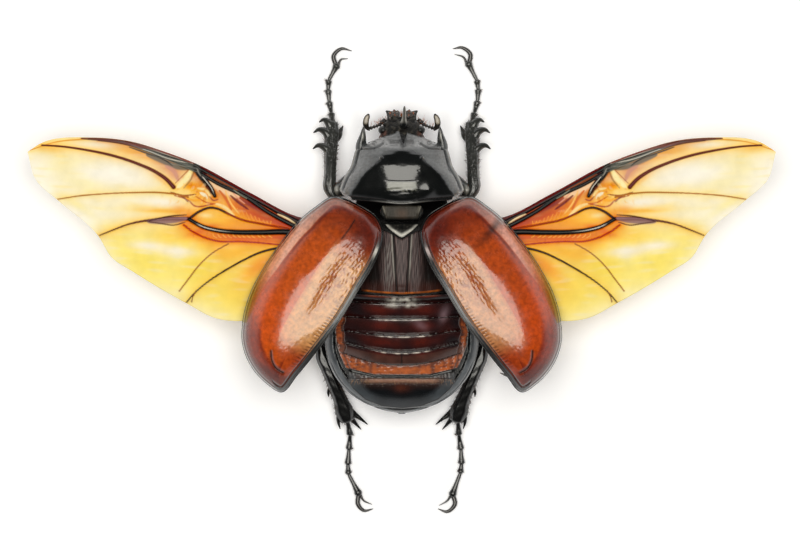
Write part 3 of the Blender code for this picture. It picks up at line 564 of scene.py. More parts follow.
def cover_height(along, across):
    """The vault: gentle towards the inner margin, steep at the outer one."""
    ends = COVER_FRONT + (COVER_REAR - COVER_FRONT) * along
    middle = np.abs(2.0 * along - 1.0)
    swell = (1.0 - middle ** 2.8) ** 0.55
    gentle = (1.0 - middle ** 2.2) ** 0.9
    inner = ends + (COVER_INNER - ends) * gentle
    outer = ends + (COVER_OUTER - ends) * swell
    crest = ends + (COVER_CREST - ends) * swell
    rise = crest - (crest - inner) * np.clip(1.0 - across / CREST_AT, 0.0, 1.0) ** 2
    share = np.clip((across - CREST_AT) / (1.0 - CREST_AT), 0.0, 1.0)
    fall = outer + (crest - outer) * (1.0 - share ** 2.3) ** 0.55
    return np.where(across < CREST_AT, rise, fall)


along_low, along_high = rim_along.min(), rim_along.max()
rows = 0.5 - 0.5 * np.cos(math.pi * (np.arange(COVER_ROWS) + 0.02) / (COVER_ROWS - 0.96))
columns = 0.5 - 0.5 * np.cos(math.pi * np.arange(COVER_COLUMNS) / (COVER_COLUMNS - 1))
columns = 0.6 * columns + 0.4 * np.linspace(0.0, 1.0, COVER_COLUMNS)
chords = np.array([cover_chord(along_low + r * (along_high - along_low)) for r in rows])
print("cover is", round(along_high - along_low, 1), "mm long")

# %% Relief and paint of a wing cover
# where the front corner bends down, and the cosine of the bend's 45 degrees
SHOULDER_BEND = (10.3, 6.9)
DIAGONAL = 0.707
cover_along, cover_across = np.meshgrid(rows, columns, indexing="ij")
cover_span = (chords[:, 1] - chords[:, 0])[:, None]
s = along_low + cover_along * (along_high - along_low)
t = chords[:, :1] + cover_across * cover_span
cover_x = COVER_HINGE[0] + s * cover_axis[0] + t * cover_side[0]
cover_y = COVER_HINGE[1] + s * cover_axis[1] + t * cover_side[1]
margin = smooth(COVER_OUTLINE, 240, closed=True)
margin = np.vstack([margin, margin[:1]])
from_rim, _ = to_line(cover_x, cover_y, margin)
inner_side = cover_across < 0.5
from_suture = np.where(inner_side, from_rim, 9.0)
strip = (1.0 - ease(from_suture, 0.75, 0.95)) * ease(cover_along, 0.06, 0.16)
strip_groove = bump(from_suture, 1.05, 0.14) * ease(cover_along, 0.06, 0.16)
rim = 1.0 - ease(from_rim, 0.24, 0.4)
rim_groove = bump(from_rim, 0.5, 0.12) * (1.0 - strip)
wrinkled = ease(cover_across, 0.62, 0.4) * ease(cover_along, 0.14, 0.26)
wrinkled *= (1.0 - 0.85 * ease(cover_along, 0.36, 0.56)) * ease(from_suture, 0.9, 1.4)
wrinkled *= 1.0 - 0.8 * ease(from_suture, 5.6, 7.0)
cross = ripple(0.7 * s, 1.2 * t, 0.75, 11, 24) + 0.5 * ripple(0.6 * s, 1.2 * t, 0.45, 18, 24)
cross = (cross + 0.6 * ripple(0.6 * s, t, 1.3, 19, 16)) * wrinkled
fine = ripple(s, t, 0.9, 12)
comb = 0.5 + 0.5 * np.sin(2.0 * math.pi * s / 0.62 + 0.8 * ripple(s, t, 2.0, 13))
ticks = comb ** 3 * bump(from_suture, 1.6, 0.5) * ease(cover_along, 0.4, 0.5)
ticks = ticks * ease(cover_along, 0.9, 0.8)
# a wavy course along the cover; the terrace on it splits the softbox's highlight in two
gap_course = from_suture + 0.12 * ripple(s, t, 3.1, 17)
terrace = ease(gap_course, 4.0, 6.8) * ease(cover_along, 0.14, 0.36)
terrace = terrace * ease(cover_along, 0.8, 0.45)
# painted shade: darker red in the gap between the two bands of the highlight
highlight_gap = bump(gap_course, 5.1, 1.25) * bump(cover_along, 0.42, 0.17)
scuffs = ripple(0.35 * s, 1.4 * t, 0.7, 20, 20) + 0.6 * ripple(0.5 * s, 1.5 * t, 0.42, 26, 20)
bend_x, bend_y = cover_x - SHOULDER_BEND[0], cover_y - SHOULDER_BEND[1]
beyond = DIAGONAL * (bend_x + bend_y)
beside_line = DIAGONAL * (bend_x - bend_y)
front_fall = ease(beyond, -0.2, 3.2) * ease(beside_line, -3.0, 1.0) * ease(beside_line, 11.0, 7.0)
front_fall = front_fall * ease(from_rim, 0.4, 3.0)
shoulder = patch(cover_x, cover_y, (13.6, 11.9), (2.6, 1.6), -40.0)
crease = near_line(cover_x, cover_y, smooth([(23.3, -12.8), (23.15, -14.4), (22.3, -15.9),
                                             (21.2, -16.6)], 24), 0.26)
callus = patch(cover_x, cover_y, (21.6, -14.8), (1.6, 2.6), 20.0)
cover_z = cover_height(cover_along, cover_across)
cover_z = cover_z + 0.13 * strip - 0.12 * strip_groove + 0.1 * rim - 0.1 * rim_groove
cover_z = cover_z + 0.034 * cross + 0.004 * fine - 0.05 * ticks
cover_z = cover_z - 0.6 * terrace + 0.03 * scuffs * highlight_gap - 0.42 * front_fall
cover_z = cover_z + 0.25 * shoulder - 0.16 * crease + 0.12 * callus

# painted highlight: the colour turns pale beige where the softbox's picture lies
painted_highlight = ease(from_suture, 9.3, 7.2) * ease(cover_along, 0.17, 0.32) * ease(cover_along, 0.82, 0.7)
painted_highlight = painted_highlight * ease(cover_across, 0.6, 0.45)
# painted reflection of the bright walls: a pale mauve band along the outer margin's front part
front_reach = np.interp(cover_along, [0.0, 0.2, 0.45, 0.6], [1.2, 2.4, 2.2, 1.6])
edge_reflection = ease(from_rim - front_reach, 0.12, -0.12) * (cover_across > 0.5)
edge_reflection = edge_reflection * ease(cover_along, 0.62, 0.42)
beside = bump(from_rim - front_reach, 0.35, 0.25) * (cover_across > 0.5)
# painted shade: the rear outer part of each cover is darker
rear_shade = ease(from_rim, 3.9, 3.2) * ease(cover_along, 0.66, 0.8) * (cover_across > 0.3)
outer_edge = ease(from_rim, 2.0, 0.5) * ease(cover_along, 0.45, 0.65) * (cover_across > 0.4)
# the strip is black; the grey on its middle stretch is a painted reflection
strip_sheen = painted("#131515", ("#42474A", ease(cover_along, 0.24, 0.36)
                            * ease(cover_along, 0.72, 0.56)))
cover_tint = painted(
    "#96360F",
    ("#B24A10", bump(cover_across, 0.6, 0.35)),
    ("#C9945A", 0.85 * painted_highlight),
    # painted shade: darker red in the troughs of the wrinkles
    ("#7A2009", np.clip(-0.7 * cross, 0.0, 0.6)),
    # painted shade in the gap of the highlight
    ("#8A2A0C", 0.85 * highlight_gap * np.clip(0.6 + 0.4 * scuffs, 0, 1)),
    ("#D89C80", 0.88 * edge_reflection),
    ("#5A1C10", 0.7 * beside * ease(cover_along, 0.5, 0.3)),
    ("#C24C10", patch(cover_x, cover_y, (24.0, -8.0), (3.0, 7.0), 10)),
    ("#5A1408", 0.75 * ease(cover_along, 0.3, 0.05)),
    ("#4E140C", 0.8 * patch(cover_x, cover_y, (6.6, 8.2), (2.6, 4.2))),
    ("#701E0A", 0.8 * rear_shade),
    ("#481006", 0.65 * outer_edge),
    ("#52190D", 0.8 * ease(cover_along, 0.88, 0.93)),
    ("#1E0806", 0.95 * crease),
    ("#3A0F08", 0.9 * ticks),
    (strip_sheen, strip),
    # painted highlight: a pale spot on the strip near its front end
    ("#C8C4BC", strip * bump(cover_along, 0.18, 0.028)),
    ("#1B1614", strip_groove),
    ("#0B0908", np.maximum(rim, 0.6 * rim_groove)))
cover_shine = 0.24 + 0.06 * ripple(cover_x, cover_y, 3.0, 14) + 0.2 * strip
print("cover heights", round(cover_z.min(), 2), "to", round(cover_z.max(), 2))

# %% The two wing covers
COVER_THICK = 0.5
COVER_DRAW = 0.96
scratch = 0.8 * near_line(cover_x, cover_y, [(8.4, 10.6), (9.2, 9.2), (10.7, 7.2)], 0.16)
streak = 0.75 * patch(cover_x, cover_y, (16.4, 9.2), (0.7, 4.2), -42.0)
JET = linear("#0A0C0C")
# the right cover is painted a little darker and redder than the left
COVER_TONE = {"left": (1.0, 1.0, 1.0), "right": (0.88, 0.77, 0.82)}
elytron_cuticle = cuticle("polished_chestnut_cuticle", (1.42, 0.1), 1.45, 0.7, 0.35, 0.003)
outer_face = xyz(cover_x, cover_y, cover_z)
inner_face = outer_face - (0.0, 0.0, COVER_THICK)
inner_face[..., :2] += (1.0 - COVER_DRAW) * (margin.mean(axis=0) - outer_face[..., :2])
rim_loop = outer_face.reshape(-1, 3)[around(COVER_ROWS, COVER_COLUMNS)[::7]]
RIM_BEAD = [(*spot, 0.1) for spot in rim_loop]
ARM = [(8.4, 11.4, 15.0, 0.9, 1.2), (7.6, 10.8, 12.6, 0.7, 1.1), (6.2, 9.8, 10.2, 0.9, 1.3)]
for side_name, side in SIDES.items():
    form = Form()
    worn = scratch if side < 0 else streak
    tint = both_faces(blend(cover_tint * COVER_TONE[side_name], JET, worn), "#5A2410")
    form.add(slab(outer_face, inner_face), tint, both_faces(cover_shine, 0.45), mirror=side)
    form.add(tube(RIM_BEAD, 420, 8), JET, 0.3, mirror=side)
    form.add(tube(ARM, 14, 20), "#241009", 0.3, mirror=side)
    form.make("wing_cover_" + side_name, elytron_cuticle, "chestnut_cuticle",
              "elytron_" + side_name)

# %% [markdown]
# ## Hind wings
#
# The hind wing is a film of chitin stretched between hollow veins, folded in life at the
# joint half way along its front edge. It could be one flat plate with a picture on it.
# Here it is a grid fine enough to carry each vein as a rounded ridge, so the veins catch
# the softbox. The grid's rows run from the front edge to the rear one.

# %% Outline and height of a hind wing
# height of the wing at its root, x of the root, and the span from root to tip
WING_LEVEL, WING_ROOT, WING_SPAN = 10.2, 9.0, 58.0
WING_LEADING = [
    (9.0, 8.2), (13.0, 10.2), (18.7, 11.3), (26.9, 15.4), (37.4, 21.0),
    (43.3, 23.2), (48.2, 24.7), (55.4, 25.5), (64.9, 24.4), (67.2, 22.9),
]
WING_TRAILING = [
    (67.2, 22.9), (65.8, 18.0), (61.3, 13.8), (54.6, 7.9), (52.1, 3.9),
    (48.2, 1.3), (38.9, -4.2), (33.1, -7.1), (28.9, -7.5), (20.0, -4.4), (9.0, 1.5),
]
WING_ROWS, WING_COLUMNS = 421, 181
leading = smooth(WING_LEADING, WING_ROWS)
trailing = smooth(WING_TRAILING[::-1], WING_ROWS)
down = np.linspace(0.0, 1.0, WING_COLUMNS)
down = 0.65 * down + 0.35 * down ** 2
wing_xy = leading[:, None] + (trailing - leading)[:, None] * down[None, :, None]
wing_x, wing_y = wing_xy[..., 0], wing_xy[..., 1]
reach = (wing_x - WING_ROOT) / WING_SPAN
wing_z = WING_LEVEL + 1.6 * reach ** 2 + 0.035 * (wing_y - 4.0) * (1.0 - reach)
print("wing grid", wing_x.shape)

# %% Colours of the film, as soft patches
# x and y of the centre, reach both ways, turn in degrees, colour, strength
WING_PATCHES = [
    (60.5, 20.3, 3.6, 2.2, 20, "#F6DF7C", 0.48), (63.5, 23.6, 2.6, 0.8, 10, "#EFB648", 0.7),
    (56.0, 21.0, 4.5, 1.0, 12, "#F8E694", 0.36), (57.0, 17.0, 5.0, 1.3, 10, "#F9E78E", 0.42),
    (49.5, 20.6, 3.4, 1.0, 25, "#FAE9A8", 0.36), (46.5, 22.4, 7.0, 0.9, 17, "#EFA336", 0.9),
    (41.8, 20.2, 2.6, 1.2, 25, "#C9703A", 0.8), (43.5, 18.2, 2.2, 0.5, 35, "#F2B24C", 0.7),
    (40.9, 18.9, 1.3, 1.0, 40, "#D58C72", 0.9), (42.0, 13.9, 3.4, 0.8, 0, "#FFF8EA", 0.95),
    (43.0, 12.35, 3.6, 0.35, 2, "#F2A420", 0.9), (58.5, 13.6, 4.0, 0.8, 35, "#F6E27A", 0.42),
    (52.0, 12.8, 5.0, 1.0, 5, "#FAE9A0", 0.36), (44.5, 12.6, 4.8, 0.9, 4, "#F4BC4A", 0.54),
    (40.0, 12.6, 1.6, 1.0, 10, "#EE9A2C", 0.8), (50.5, 7.0, 3.6, 2.4, 35, "#F7E27A", 0.9),
    (46.0, 3.0, 6.5, 4.0, 30, "#F5DC58", 1.0), (46.5, 7.6, 4.2, 1.2, 12, "#F8E88C", 0.8),
    (41.0, 7.4, 5.0, 2.0, 15, "#F3C848", 0.9), (36.0, 2.0, 6.0, 5.0, 40, "#F4D648", 1.0),
    (29.0, -2.5, 7.5, 5.0, 20, "#F4D246", 1.0), (22.0, -1.0, 6.0, 6.0, 0, "#EDB63A", 1.0),
    (26.5, 1.2, 3.4, 1.6, 30, "#F7DC6A", 0.6), (40.3, 4.9, 1.5, 1.8, 0, "#FDF3D0", 0.85),
    (37.5, 6.2, 1.0, 0.8, 0, "#FBEDB8", 0.6), (33.0, 5.2, 3.2, 1.4, 30, "#EFB43A", 0.8),
    (30.5, 13.4, 6.0, 1.6, 25, "#EE9228", 1.0), (36.2, 14.6, 2.4, 1.8, 20, "#F0A030", 0.9),
    (24.5, 10.8, 4.6, 1.0, 18, "#DE6C1E", 1.0), (20.0, 9.6, 3.0, 1.4, 15, "#B43E16", 1.0),
    (31.0, 10.4, 3.6, 1.0, 5, "#F4B43A", 1.0), (27.4, 9.5, 2.6, 0.5, 2, "#FAD98C", 0.8),
    (29.5, 7.4, 6.5, 0.8, 5, "#E2701E", 1.0), (35.5, 9.0, 2.4, 0.5, -20, "#D9541A", 0.9),
    (22.0, 7.2, 3.6, 1.2, 3, "#C44E18", 0.9), (30.6, 15.8, 3.4, 0.9, 28, "#B8603A", 0.5),
    (26.9, 13.3, 2.6, 0.5, 27, "#7A2416", 0.8), (19.2, 10.6, 1.3, 0.3, 32, "#FBE3A4", 0.9),
    (38.9, 18.4, 0.8, 1.3, -10, "#FCEBBC", 1.0), (37.6, 16.7, 1.7, 0.7, -5, "#F08E10", 1.0),
    (32.4, 10.6, 3.4, 0.9, 8, "#F6AC1E", 1.0), (34.6, 11.7, 1.6, 0.5, -15, "#F9CE6C", 0.8),
    (25.0, 9.5, 4.5, 0.3, 5, "#F9C88C", 0.8), (26.6, 11.8, 3.6, 0.6, 25, "#C4501A", 0.5),
    (31.6, 15.6, 1.8, 0.7, 28, "#FBDDB4", 0.9), (35.2, 14.3, 0.8, 0.5, 30, "#FCE9B4", 0.8),
    (32.2, 13.9, 0.5, 1.4, -25, "#FBDFA0", 0.7), (38.6, 15.8, 0.6, 0.4, 0, "#FDEFC8", 0.7),
    (25.5, 2.6, 3.8, 1.6, -40, "#F08C12", 0.95), (29.0, 4.8, 4.6, 1.2, -12, "#F6AE1E", 0.8),
]


def stain(colour, dye, mask):
    """Dye soaked into a colour, also used to lay painted shade. A dye takes the blue first, so a thin
    one looks yellow.
    """
    share = mask[..., None]
    return colour ** (1.0 - share) * linear(dye) ** share


DYE_STRENGTH = 0.86
film = np.broadcast_to(linear("#FFF9EA"), wing_x.shape + (3,))
for *place, turn, code, strength in WING_PATCHES:
    cloud = patch(wing_x, wing_y, place[:2], place[2:], turn)
    film = stain(film, code, DYE_STRENGTH * strength * cloud)
streaks = ripple(0.5 * wing_x, 2.4 * wing_y, 3.2, 21)
film = stain(film, "#F3CE5A", 0.16 * ease(streaks, 0.2, 1.4))
film = painted(film, ("#FEF8E6", 0.22 * ease(-streaks, 0.2, 1.4)))
print("film painted with", len(WING_PATCHES), "patches")

# %% Veins: half width at both ends, height, colour, glow and the points they follow
VEINS = {
    "margin": (0.32, 0.14, 0.16, "#5E241C", None,
               [(9.6, 8.0), (18.7, 11.1), (26.9, 15.2), (37.4, 20.8), (43.3, 23.0),
                (48.2, 24.5), (55.4, 25.3), (57.5, 25.3)]),
    "tip_rim": (0.09, 0.07, 0.08, "#E2982C", "#F6CE62",
                [(56.5, 25.25), (62.0, 24.7), (66.8, 23.2)]),
    "costa": (0.5, 0.36, 0.36, "#2A1110", "#7A2A1C",
              [(9.6, 7.4), (18.4, 10.2), (24.6, 13.5), (31.8, 17.4), (37.0, 20.3)]),
    "costal_rib": (0.42, 0.3, 0.3, "#140D0D", "#8A3018",
                   [(12.0, 6.9), (18.6, 9.3), (24.0, 12.1), (28.2, 14.9), (33.0, 17.2),
                    (36.6, 19.3)]),
    "stigma": (0.72, 0.12, 0.3, "#54564F", "#C86A20",
               [(37.0, 19.9), (41.6, 21.7), (46.0, 23.3), (50.0, 24.5), (54.5, 25.0)]),
    "radius": (0.38, 0.12, 0.34, "#5E1E12", "#F2A42C",
               [(41.0, 16.6), (42.2, 17.9), (44.2, 19.3), (47.5, 20.8), (51.4, 22.1),
                (56.4, 23.2), (61.3, 23.9), (64.6, 24.1)]),
    "knuckle": (0.7, 0.5, 0.3, "#3E3E3C", None, [(36.9, 20.2), (36.4, 19.0), (35.8, 18.2)]),
    "bracket": (0.44, 0.3, 0.34, "#0E0D0D", "#C8621E",
                [(36.2, 18.9), (35.1, 17.6), (34.2, 16.4), (33.6, 15.0)]),
    "sector": (0.14, 0.08, 0.12, "#A8641C", "#F6CE62",
               [(38.4, 14.8), (40.6, 15.3), (43.3, 15.6), (48.2, 15.6), (53.1, 15.4),
                (58.0, 15.0), (61.8, 14.4)]),
    "media": (0.34, 0.08, 0.26, "#5A261C", "#F0A22C",
              [(38.4, 10.9), (41.6, 11.0), (44.9, 10.7), (48.8, 10.0), (52.1, 8.8),
               (54.3, 7.9)]),
    "loop": (0.24, 0.1, 0.24, "#40180F", "#EE9A22",
             [(38.2, 10.9), (36.4, 12.2), (34.4, 12.9), (33.1, 12.7), (31.2, 11.8),
              (28.6, 10.7), (25.3, 10.0), (20.4, 9.1)]),
    "cubitus": (0.3, 0.56, 0.42, "#0B0A0A", "#C84E10",
                [(38.2, 10.8), (35.8, 9.5), (33.1, 8.8), (30.2, 8.5), (25.3, 8.45),
                 (20.4, 8.5), (12.0, 6.0)]),
    "fold": (0.13, 0.1, 0.1, "#A43408", "#E8740E",
             [(39.2, 9.8), (37.6, 8.6), (36.1, 7.8), (33.2, 6.9), (28.8, 6.8), (23.6, 6.4),
              (12.0, 4.6)]),
    "branch": (0.1, 0.1, 0.1, "#9C5E1C", None,
               [(31.2, 6.4), (33.8, 4.9), (36.4, 2.6), (38.4, 0.0), (40.0, -2.1)]),
    "anal": (0.3, 0.09, 0.2, "#2E160E", "#EBB23A",
             [(12.0, 3.4), (22.5, 5.6), (25.3, 4.9), (28.6, 3.4), (31.8, 1.6),
              (35.1, -0.6), (37.4, -2.6), (38.7, -4.1)]),
    "fork": (0.1, 0.08, 0.08, "#7A4416", None, [(37.0, -2.1), (37.6, -3.2), (37.8, -4.0)]),
}
# half width, colour, strength and course; a pale fold stands up and a dark one sinks
FOLDS = [
    (0.5, "#585A52", 0.9, [(45.8, 22.4), (42.6, 21.1), (40.4, 20.2), (38.0, 19.9)]),
    (0.4, "#C88874", 0.8, [(42.4, 20.4), (40.9, 19.4), (40.2, 17.8)]),
    (0.5, "#FFF0B0", 0.95, [(37.4, 20.2), (38.6, 18.3), (40.3, 16.5)]),
    (0.1, "#A85A2A", 0.8, [(37.7, 20.3), (39.4, 18.6), (40.8, 17.2)]),
    (0.16, "#8A5A22", 0.7, [(37.3, 19.9), (37.8, 18.2), (39.2, 16.4)]),
    (0.5, "#4A4A44", 0.9, [(36.9, 20.6), (36.4, 19.4), (36.0, 18.3), (35.3, 17.2)]),
    (0.3, "#2A1812", 0.9, [(35.6, 17.6), (34.8, 16.4), (33.9, 15.2)]),
    (0.8, "#F8D4AC", 0.95, [(34.4, 17.6), (33.0, 16.7), (31.0, 15.7), (29.4, 14.9)]),
    (0.22, "#D4701A", 0.95, [(32.8, 16.0), (31.7, 14.6), (30.6, 12.5)]),
    (0.3, "#FBE2A4", 0.95, [(33.5, 13.6), (32.1, 13.1), (30.1, 11.4)]),
    (0.16, "#F9C878", 0.95, [(31.7, 15.9), (30.8, 13.8), (29.1, 11.6)]),
    (0.22, "#7A2216", 0.9, [(30.8, 15.1), (29.3, 13.8), (27.6, 12.6)]),
    (0.12, "#E8A890", 0.9, [(30.3, 15.5), (29.0, 14.2), (28.2, 13.6)]),
    (0.14, "#A83E14", 0.9, [(40.9, 15.1), (38.3, 14.2), (37.4, 13.3), (33.9, 13.5)]),
    (0.12, "#8A3420", 0.9, [(41.6, 15.7), (39.2, 15.1), (37.0, 15.3)]),
    (0.14, "#7A2E20", 0.8, [(40.2, 15.3), (39.2, 14.7), (38.4, 13.9)]),
    (0.12, "#C8601C", 0.9, [(37.0, 14.9), (35.0, 13.8), (33.5, 13.6)]),
    (0.24, "#FBDC96", 0.95, [(36.7, 16.4), (35.0, 15.9), (34.4, 14.6)]),
    (0.3, "#FEF2D0", 0.95, [(36.2, 15.6), (35.4, 15.1), (35.0, 14.6)]),
    (0.2, "#F4A830", 0.9, [(38.8, 14.7), (37.4, 14.2), (36.2, 14.3)]),
    (0.14, "#9C3A16", 0.8, [(34.6, 14.9), (33.8, 14.2), (33.0, 14.4)]),
]
FOLDS += [(0.08, "#F8BC60", 0.8, [(x, 8.2), (x - 0.2, 7.8), (x - 0.7, 7.5)])
          for x in (34.0, 33.1, 32.2, 31.3, 30.4, 29.6, 28.8, 27.9, 27.1, 26.0, 25.2, 24.0)]
FOLDS += [(0.08, "#F2A850", 0.8, [(x, 0.45 * x - 0.5), (x - 0.4, 0.42 * x - 0.6), (x - 0.7, 10.5)])
          for x in (29.6, 28.8, 28.0, 27.2, 26.4, 25.7, 24.9, 24.2)]
# the same for thin lines, which are only painted
LINES = [
    # painted highlights: pale and grey glints along the stigma
    (0.08, "#C9C4B6", 0.9, [(47.5, 23.75), (45.3, 22.98), (42.0, 21.73), (37.6, 20.8)]),
    (0.07, "#9A9488", 0.9, [(46.5, 23.85), (44.8, 23.3), (41.6, 22.25), (37.6, 20.95)]),
    (0.09, "#7E7A6E", 0.9, [(41.8, 20.9), (40.0, 20.5), (38.0, 20.2)]),
    (0.14, "#101114", 0.95, [(49.0, 23.8), (45.3, 22.5), (43.5, 21.9), (42.2, 21.2), (41.2, 20.4)]),
    (0.09, "#15161A", 0.9, [(47.5, 23.9), (44.0, 22.75), (40.2, 21.6), (37.4, 20.6)]),
    (0.18, "#7A4038", 0.9, [(50.0, 24.55), (45.3, 23.6), (41.6, 22.5), (37.6, 20.9)]),
    (0.16, "#6A3430", 0.9, [(36.2, 20.3), (28.8, 16.2), (22.0, 12.4), (19.4, 11.3)]),
    (0.08, "#B06A4A", 0.8, [(35.0, 18.9), (32.0, 17.3), (29.5, 16.0)]),
    # painted highlight: an olive-grey glint on the costal rib
    (0.1, "#8A8A78", 0.8, [(30.2, 16.1), (29.0, 15.2), (27.8, 14.5)]),
    (0.16, "#FBE2B4", 0.95, [(22.3, 11.75), (20.6, 10.95), (19.2, 10.1)]),
    (0.6, "#8C686A", 0.95, [(38.7, 11.0), (41.2, 10.6), (43.2, 10.5), (45.6, 10.4)]),
    (0.13, "#3E1A18", 0.95, [(38.7, 11.6), (41.4, 11.4), (43.5, 11.0), (46.0, 10.4)]),
    (0.12, "#4A201A", 0.9, [(38.9, 10.3), (41.1, 9.75), (43.0, 10.0), (45.4, 10.35)]),
    (0.2, "#5E2E26", 0.9, [(57.5, 25.3), (53.5, 24.95), (50.0, 24.4), (46.5, 23.5)]),
    (0.14, "#A8480F", 0.85, [(31.6, 12.0), (28.6, 10.7), (25.3, 10.0), (20.4, 9.1)]),
]


def stroke(half, course):
    """A soft mask along a course, thinner at both ends."""
    distance, share = to_line(wing_x, wing_y, smooth(course, 24))
    width = half * (0.35 + 0.65 * np.sqrt(np.clip(4.0 * share * (1.0 - share), 0.0, 1.0)))
    return 1.0 - ease(distance, 0.5 * width, 1.3 * width + 0.04)


GLOW_REACH = 0.85
FOLD_HEIGHT = 0.07
wing_tint = film
wing_rise = np.zeros(wing_x.shape)
wing_vein = np.zeros(wing_x.shape)
spots = {key: to_line(wing_x, wing_y, smooth(vein[-1], 90)) for key, vein in VEINS.items()}
for key, (distance, share) in spots.items():
    glow = VEINS[key][-2]
    if glow:
        halo = np.exp(-distance / GLOW_REACH) * (0.75 - 0.3 * share)
        wing_tint = stain(wing_tint, glow, halo)
for half, code, strength, course in FOLDS:
    mask = strength * stroke(half, course)
    wing_tint = painted(wing_tint, (code, mask))
    wing_rise = wing_rise + FOLD_HEIGHT * mask * (1.0 if linear(code).sum() > 1.0 else -1.0)
for key, (distance, share) in spots.items():
    start, end, height, code, *_ = VEINS[key]
    half = start + (end - start) * share ** 0.6
    mask = 1.0 - ease(distance, 0.8 * half, 1.15 * half + 0.05)
    wing_tint = painted(wing_tint, (code, mask))
    wing_vein = np.maximum(wing_vein, mask)
    roof = height * np.sqrt(np.clip(1.0 - (distance / (half + 0.08)) ** 2, 0.0, 1.0))
    wing_rise = np.maximum(wing_rise, roof)
wing_tint = painted(wing_tint, *((code, strength * stroke(half, course))
                                 for half, code, strength, course in LINES))
print(len(VEINS), "veins, the highest", wing_rise.max().round(2), "mm")

# %% Veins with painted highlights, and the costa's two tones
# half width of the core, colour, and the shares of the vein where it starts and ends
# the pale cores of the cubitus, bracket and knuckle are painted highlights; the costa's red-brown core
# is its own colour
VEIN_CORES_AND_HIGHLIGHTS = {"cubitus": (0.13, "#DAD6CC", 0.05, 0.34),
         "bracket": (0.1, "#E0D6C8", 0.1, 0.95), "knuckle": (0.14, "#8E8A80", 0.1, 0.9),
         "costa": (0.12, "#4A1C16", 0.05, 0.95)}
for key, (half, code, first, last) in VEIN_CORES_AND_HIGHLIGHTS.items():
    distance, share = spots[key]
    core = (1.0 - ease(distance, 0.3 * half, half)) * ease(share, last, last - 0.2)
    core = core * ease(share, first - 0.01, first + 0.05)
    wing_tint = painted(wing_tint, (code, 0.85 * core))
from_fan, fan_share = spots["stigma"]
fan = np.sin(2.0 * math.pi * from_fan / 0.42) * (1.0 - ease(fan_share, 0.6, 0.95))
fan *= 1.0 - ease(from_fan, 0.5, 0.8)
wing_rise = wing_rise + 0.06 * fan
# painted highlight on the crests of the stigma's fine ridges
wing_tint = painted(wing_tint, ("#8A8884", 0.35 * ease(fan, 0.5, 1.0)))

# %% Film between the veins
PALE_CELLS = [((43.0, 13.9), (3.2, 0.8), "#FFF8EA"), ((45.5, 6.0), (3.2, 0.8), "#FFF8EA"),
              ((40.5, 5.0), (3.2, 0.8), "#FFF8EA"), ((33.4, 10.8), (2.8, 0.9), "#FBC43A"),
              ((35.2, 11.5), (1.2, 0.4), "#FDE6A0"), ((51.3, 19.4), (6.5, 1.9), "#FFFBF0"),
              ((55.2, 24.2), (3.2, 0.5), "#FFF6DC")]
pleats = ripple(2.6 * wing_x, 0.6 * wing_y, 1.4, 22)
near_joint = patch(wing_x, wing_y, (37.0, 15.6), (4.0, 3.2))
tight = patch(wing_x, wing_y, (29.0, 7.4), (8.0, 0.9), 4) + patch(
    wing_x, wing_y, (29.0, 12.8), (7.0, 1.8), 24)
crumple = ripple(wing_x, wing_y, 1.5, 23) + 0.6 * ripple(1.4 * wing_x, 0.8 * wing_y, 0.8, 25)
sag = ripple(0.4 * wing_x, wing_y, 7.0, 24)
free = 1.0 - wing_vein
wing_rise = wing_rise + free * (0.10 * near_joint * crumple + 0.035 * tight * pleats + 0.10 * sag)
root = ease(wing_x, 40.0, 26.0) * ease(wing_y, 6.0, 7.5) * free
deeper = (ease(wing_x, 46.0, 38.0) * ease(wing_y, 4.0, 7.0))[..., None]
wing_tint = np.clip(wing_tint * (1.0 + 0.05 * deeper) - 0.03 * deeper, 0.002, 1.0)
wing_tint = wing_tint ** (1.0 + 0.2 * root[..., None])
# painted highlight on the crests of the crumples near the joint
wing_tint = painted(
    wing_tint, ("#FDE8B0", 0.3 * free * near_joint * ease(crumple, 0.4, 1.1)),
    *((code, 0.75 * free * patch(wing_x, wing_y, spot, size, 4.0)) for spot, size, code in PALE_CELLS))
# painted shade in the troughs of the crumples and of the pleats
wing_tint = stain(wing_tint, "#C8600F", 0.4 * free * near_joint * ease(-crumple, 0.4, 1.2))
wing_tint = stain(wing_tint, "#8E2C0C", 0.25 * free * tight * ease(-pleats, 0.6, 1.4))
deep = 1.0 - wing_tint[..., 2]
wing_veil = 0.84 + 0.14 * ease(deep, 0.3, 0.95)
wing_veil = np.maximum(wing_veil, wing_vein)
wing_shine = 0.34 - 0.14 * wing_vein
print("film opacity", wing_veil.min().round(2), "to", wing_veil.max().round(2))

# %% [markdown]
# The film lets light through to the white floor and back, which is why it glows. True
# refraction would be slow and noisy for a film this thin, so an opacity that follows the
# depth of colour does it: nearly clear at the tip, nearly solid where the film is brown.

# %% Wing film finish
wing_film, tree = start_finish("dried_chitin_film")
place = add(tree, "TexCoord").outputs["Object"]
shade = add(tree, "MapRange", {1: 0.3, 2: 0.7, 3: 0.94, 4: 1.03},
            {0: noise(tree, 2.2, 5.0, place)})
body = add(tree, "VectorMath", {"operation": "SCALE"},
           {0: paint_of(tree, "tint"), "Scale": shade})
relief = add(tree, "Bump", {"Distance": 0.006 * MM}, {"Height": noise(tree, 0.25, 2.0, place)})
end_finish(tree, {"IOR": 1.2, "Coat Weight": 0.06, "Coat Roughness": 0.2},
           {"Base Color": body, "Roughness": paint_of(tree, "shine"),
            "Alpha": paint_of(tree, "veil"), "Normal": relief})

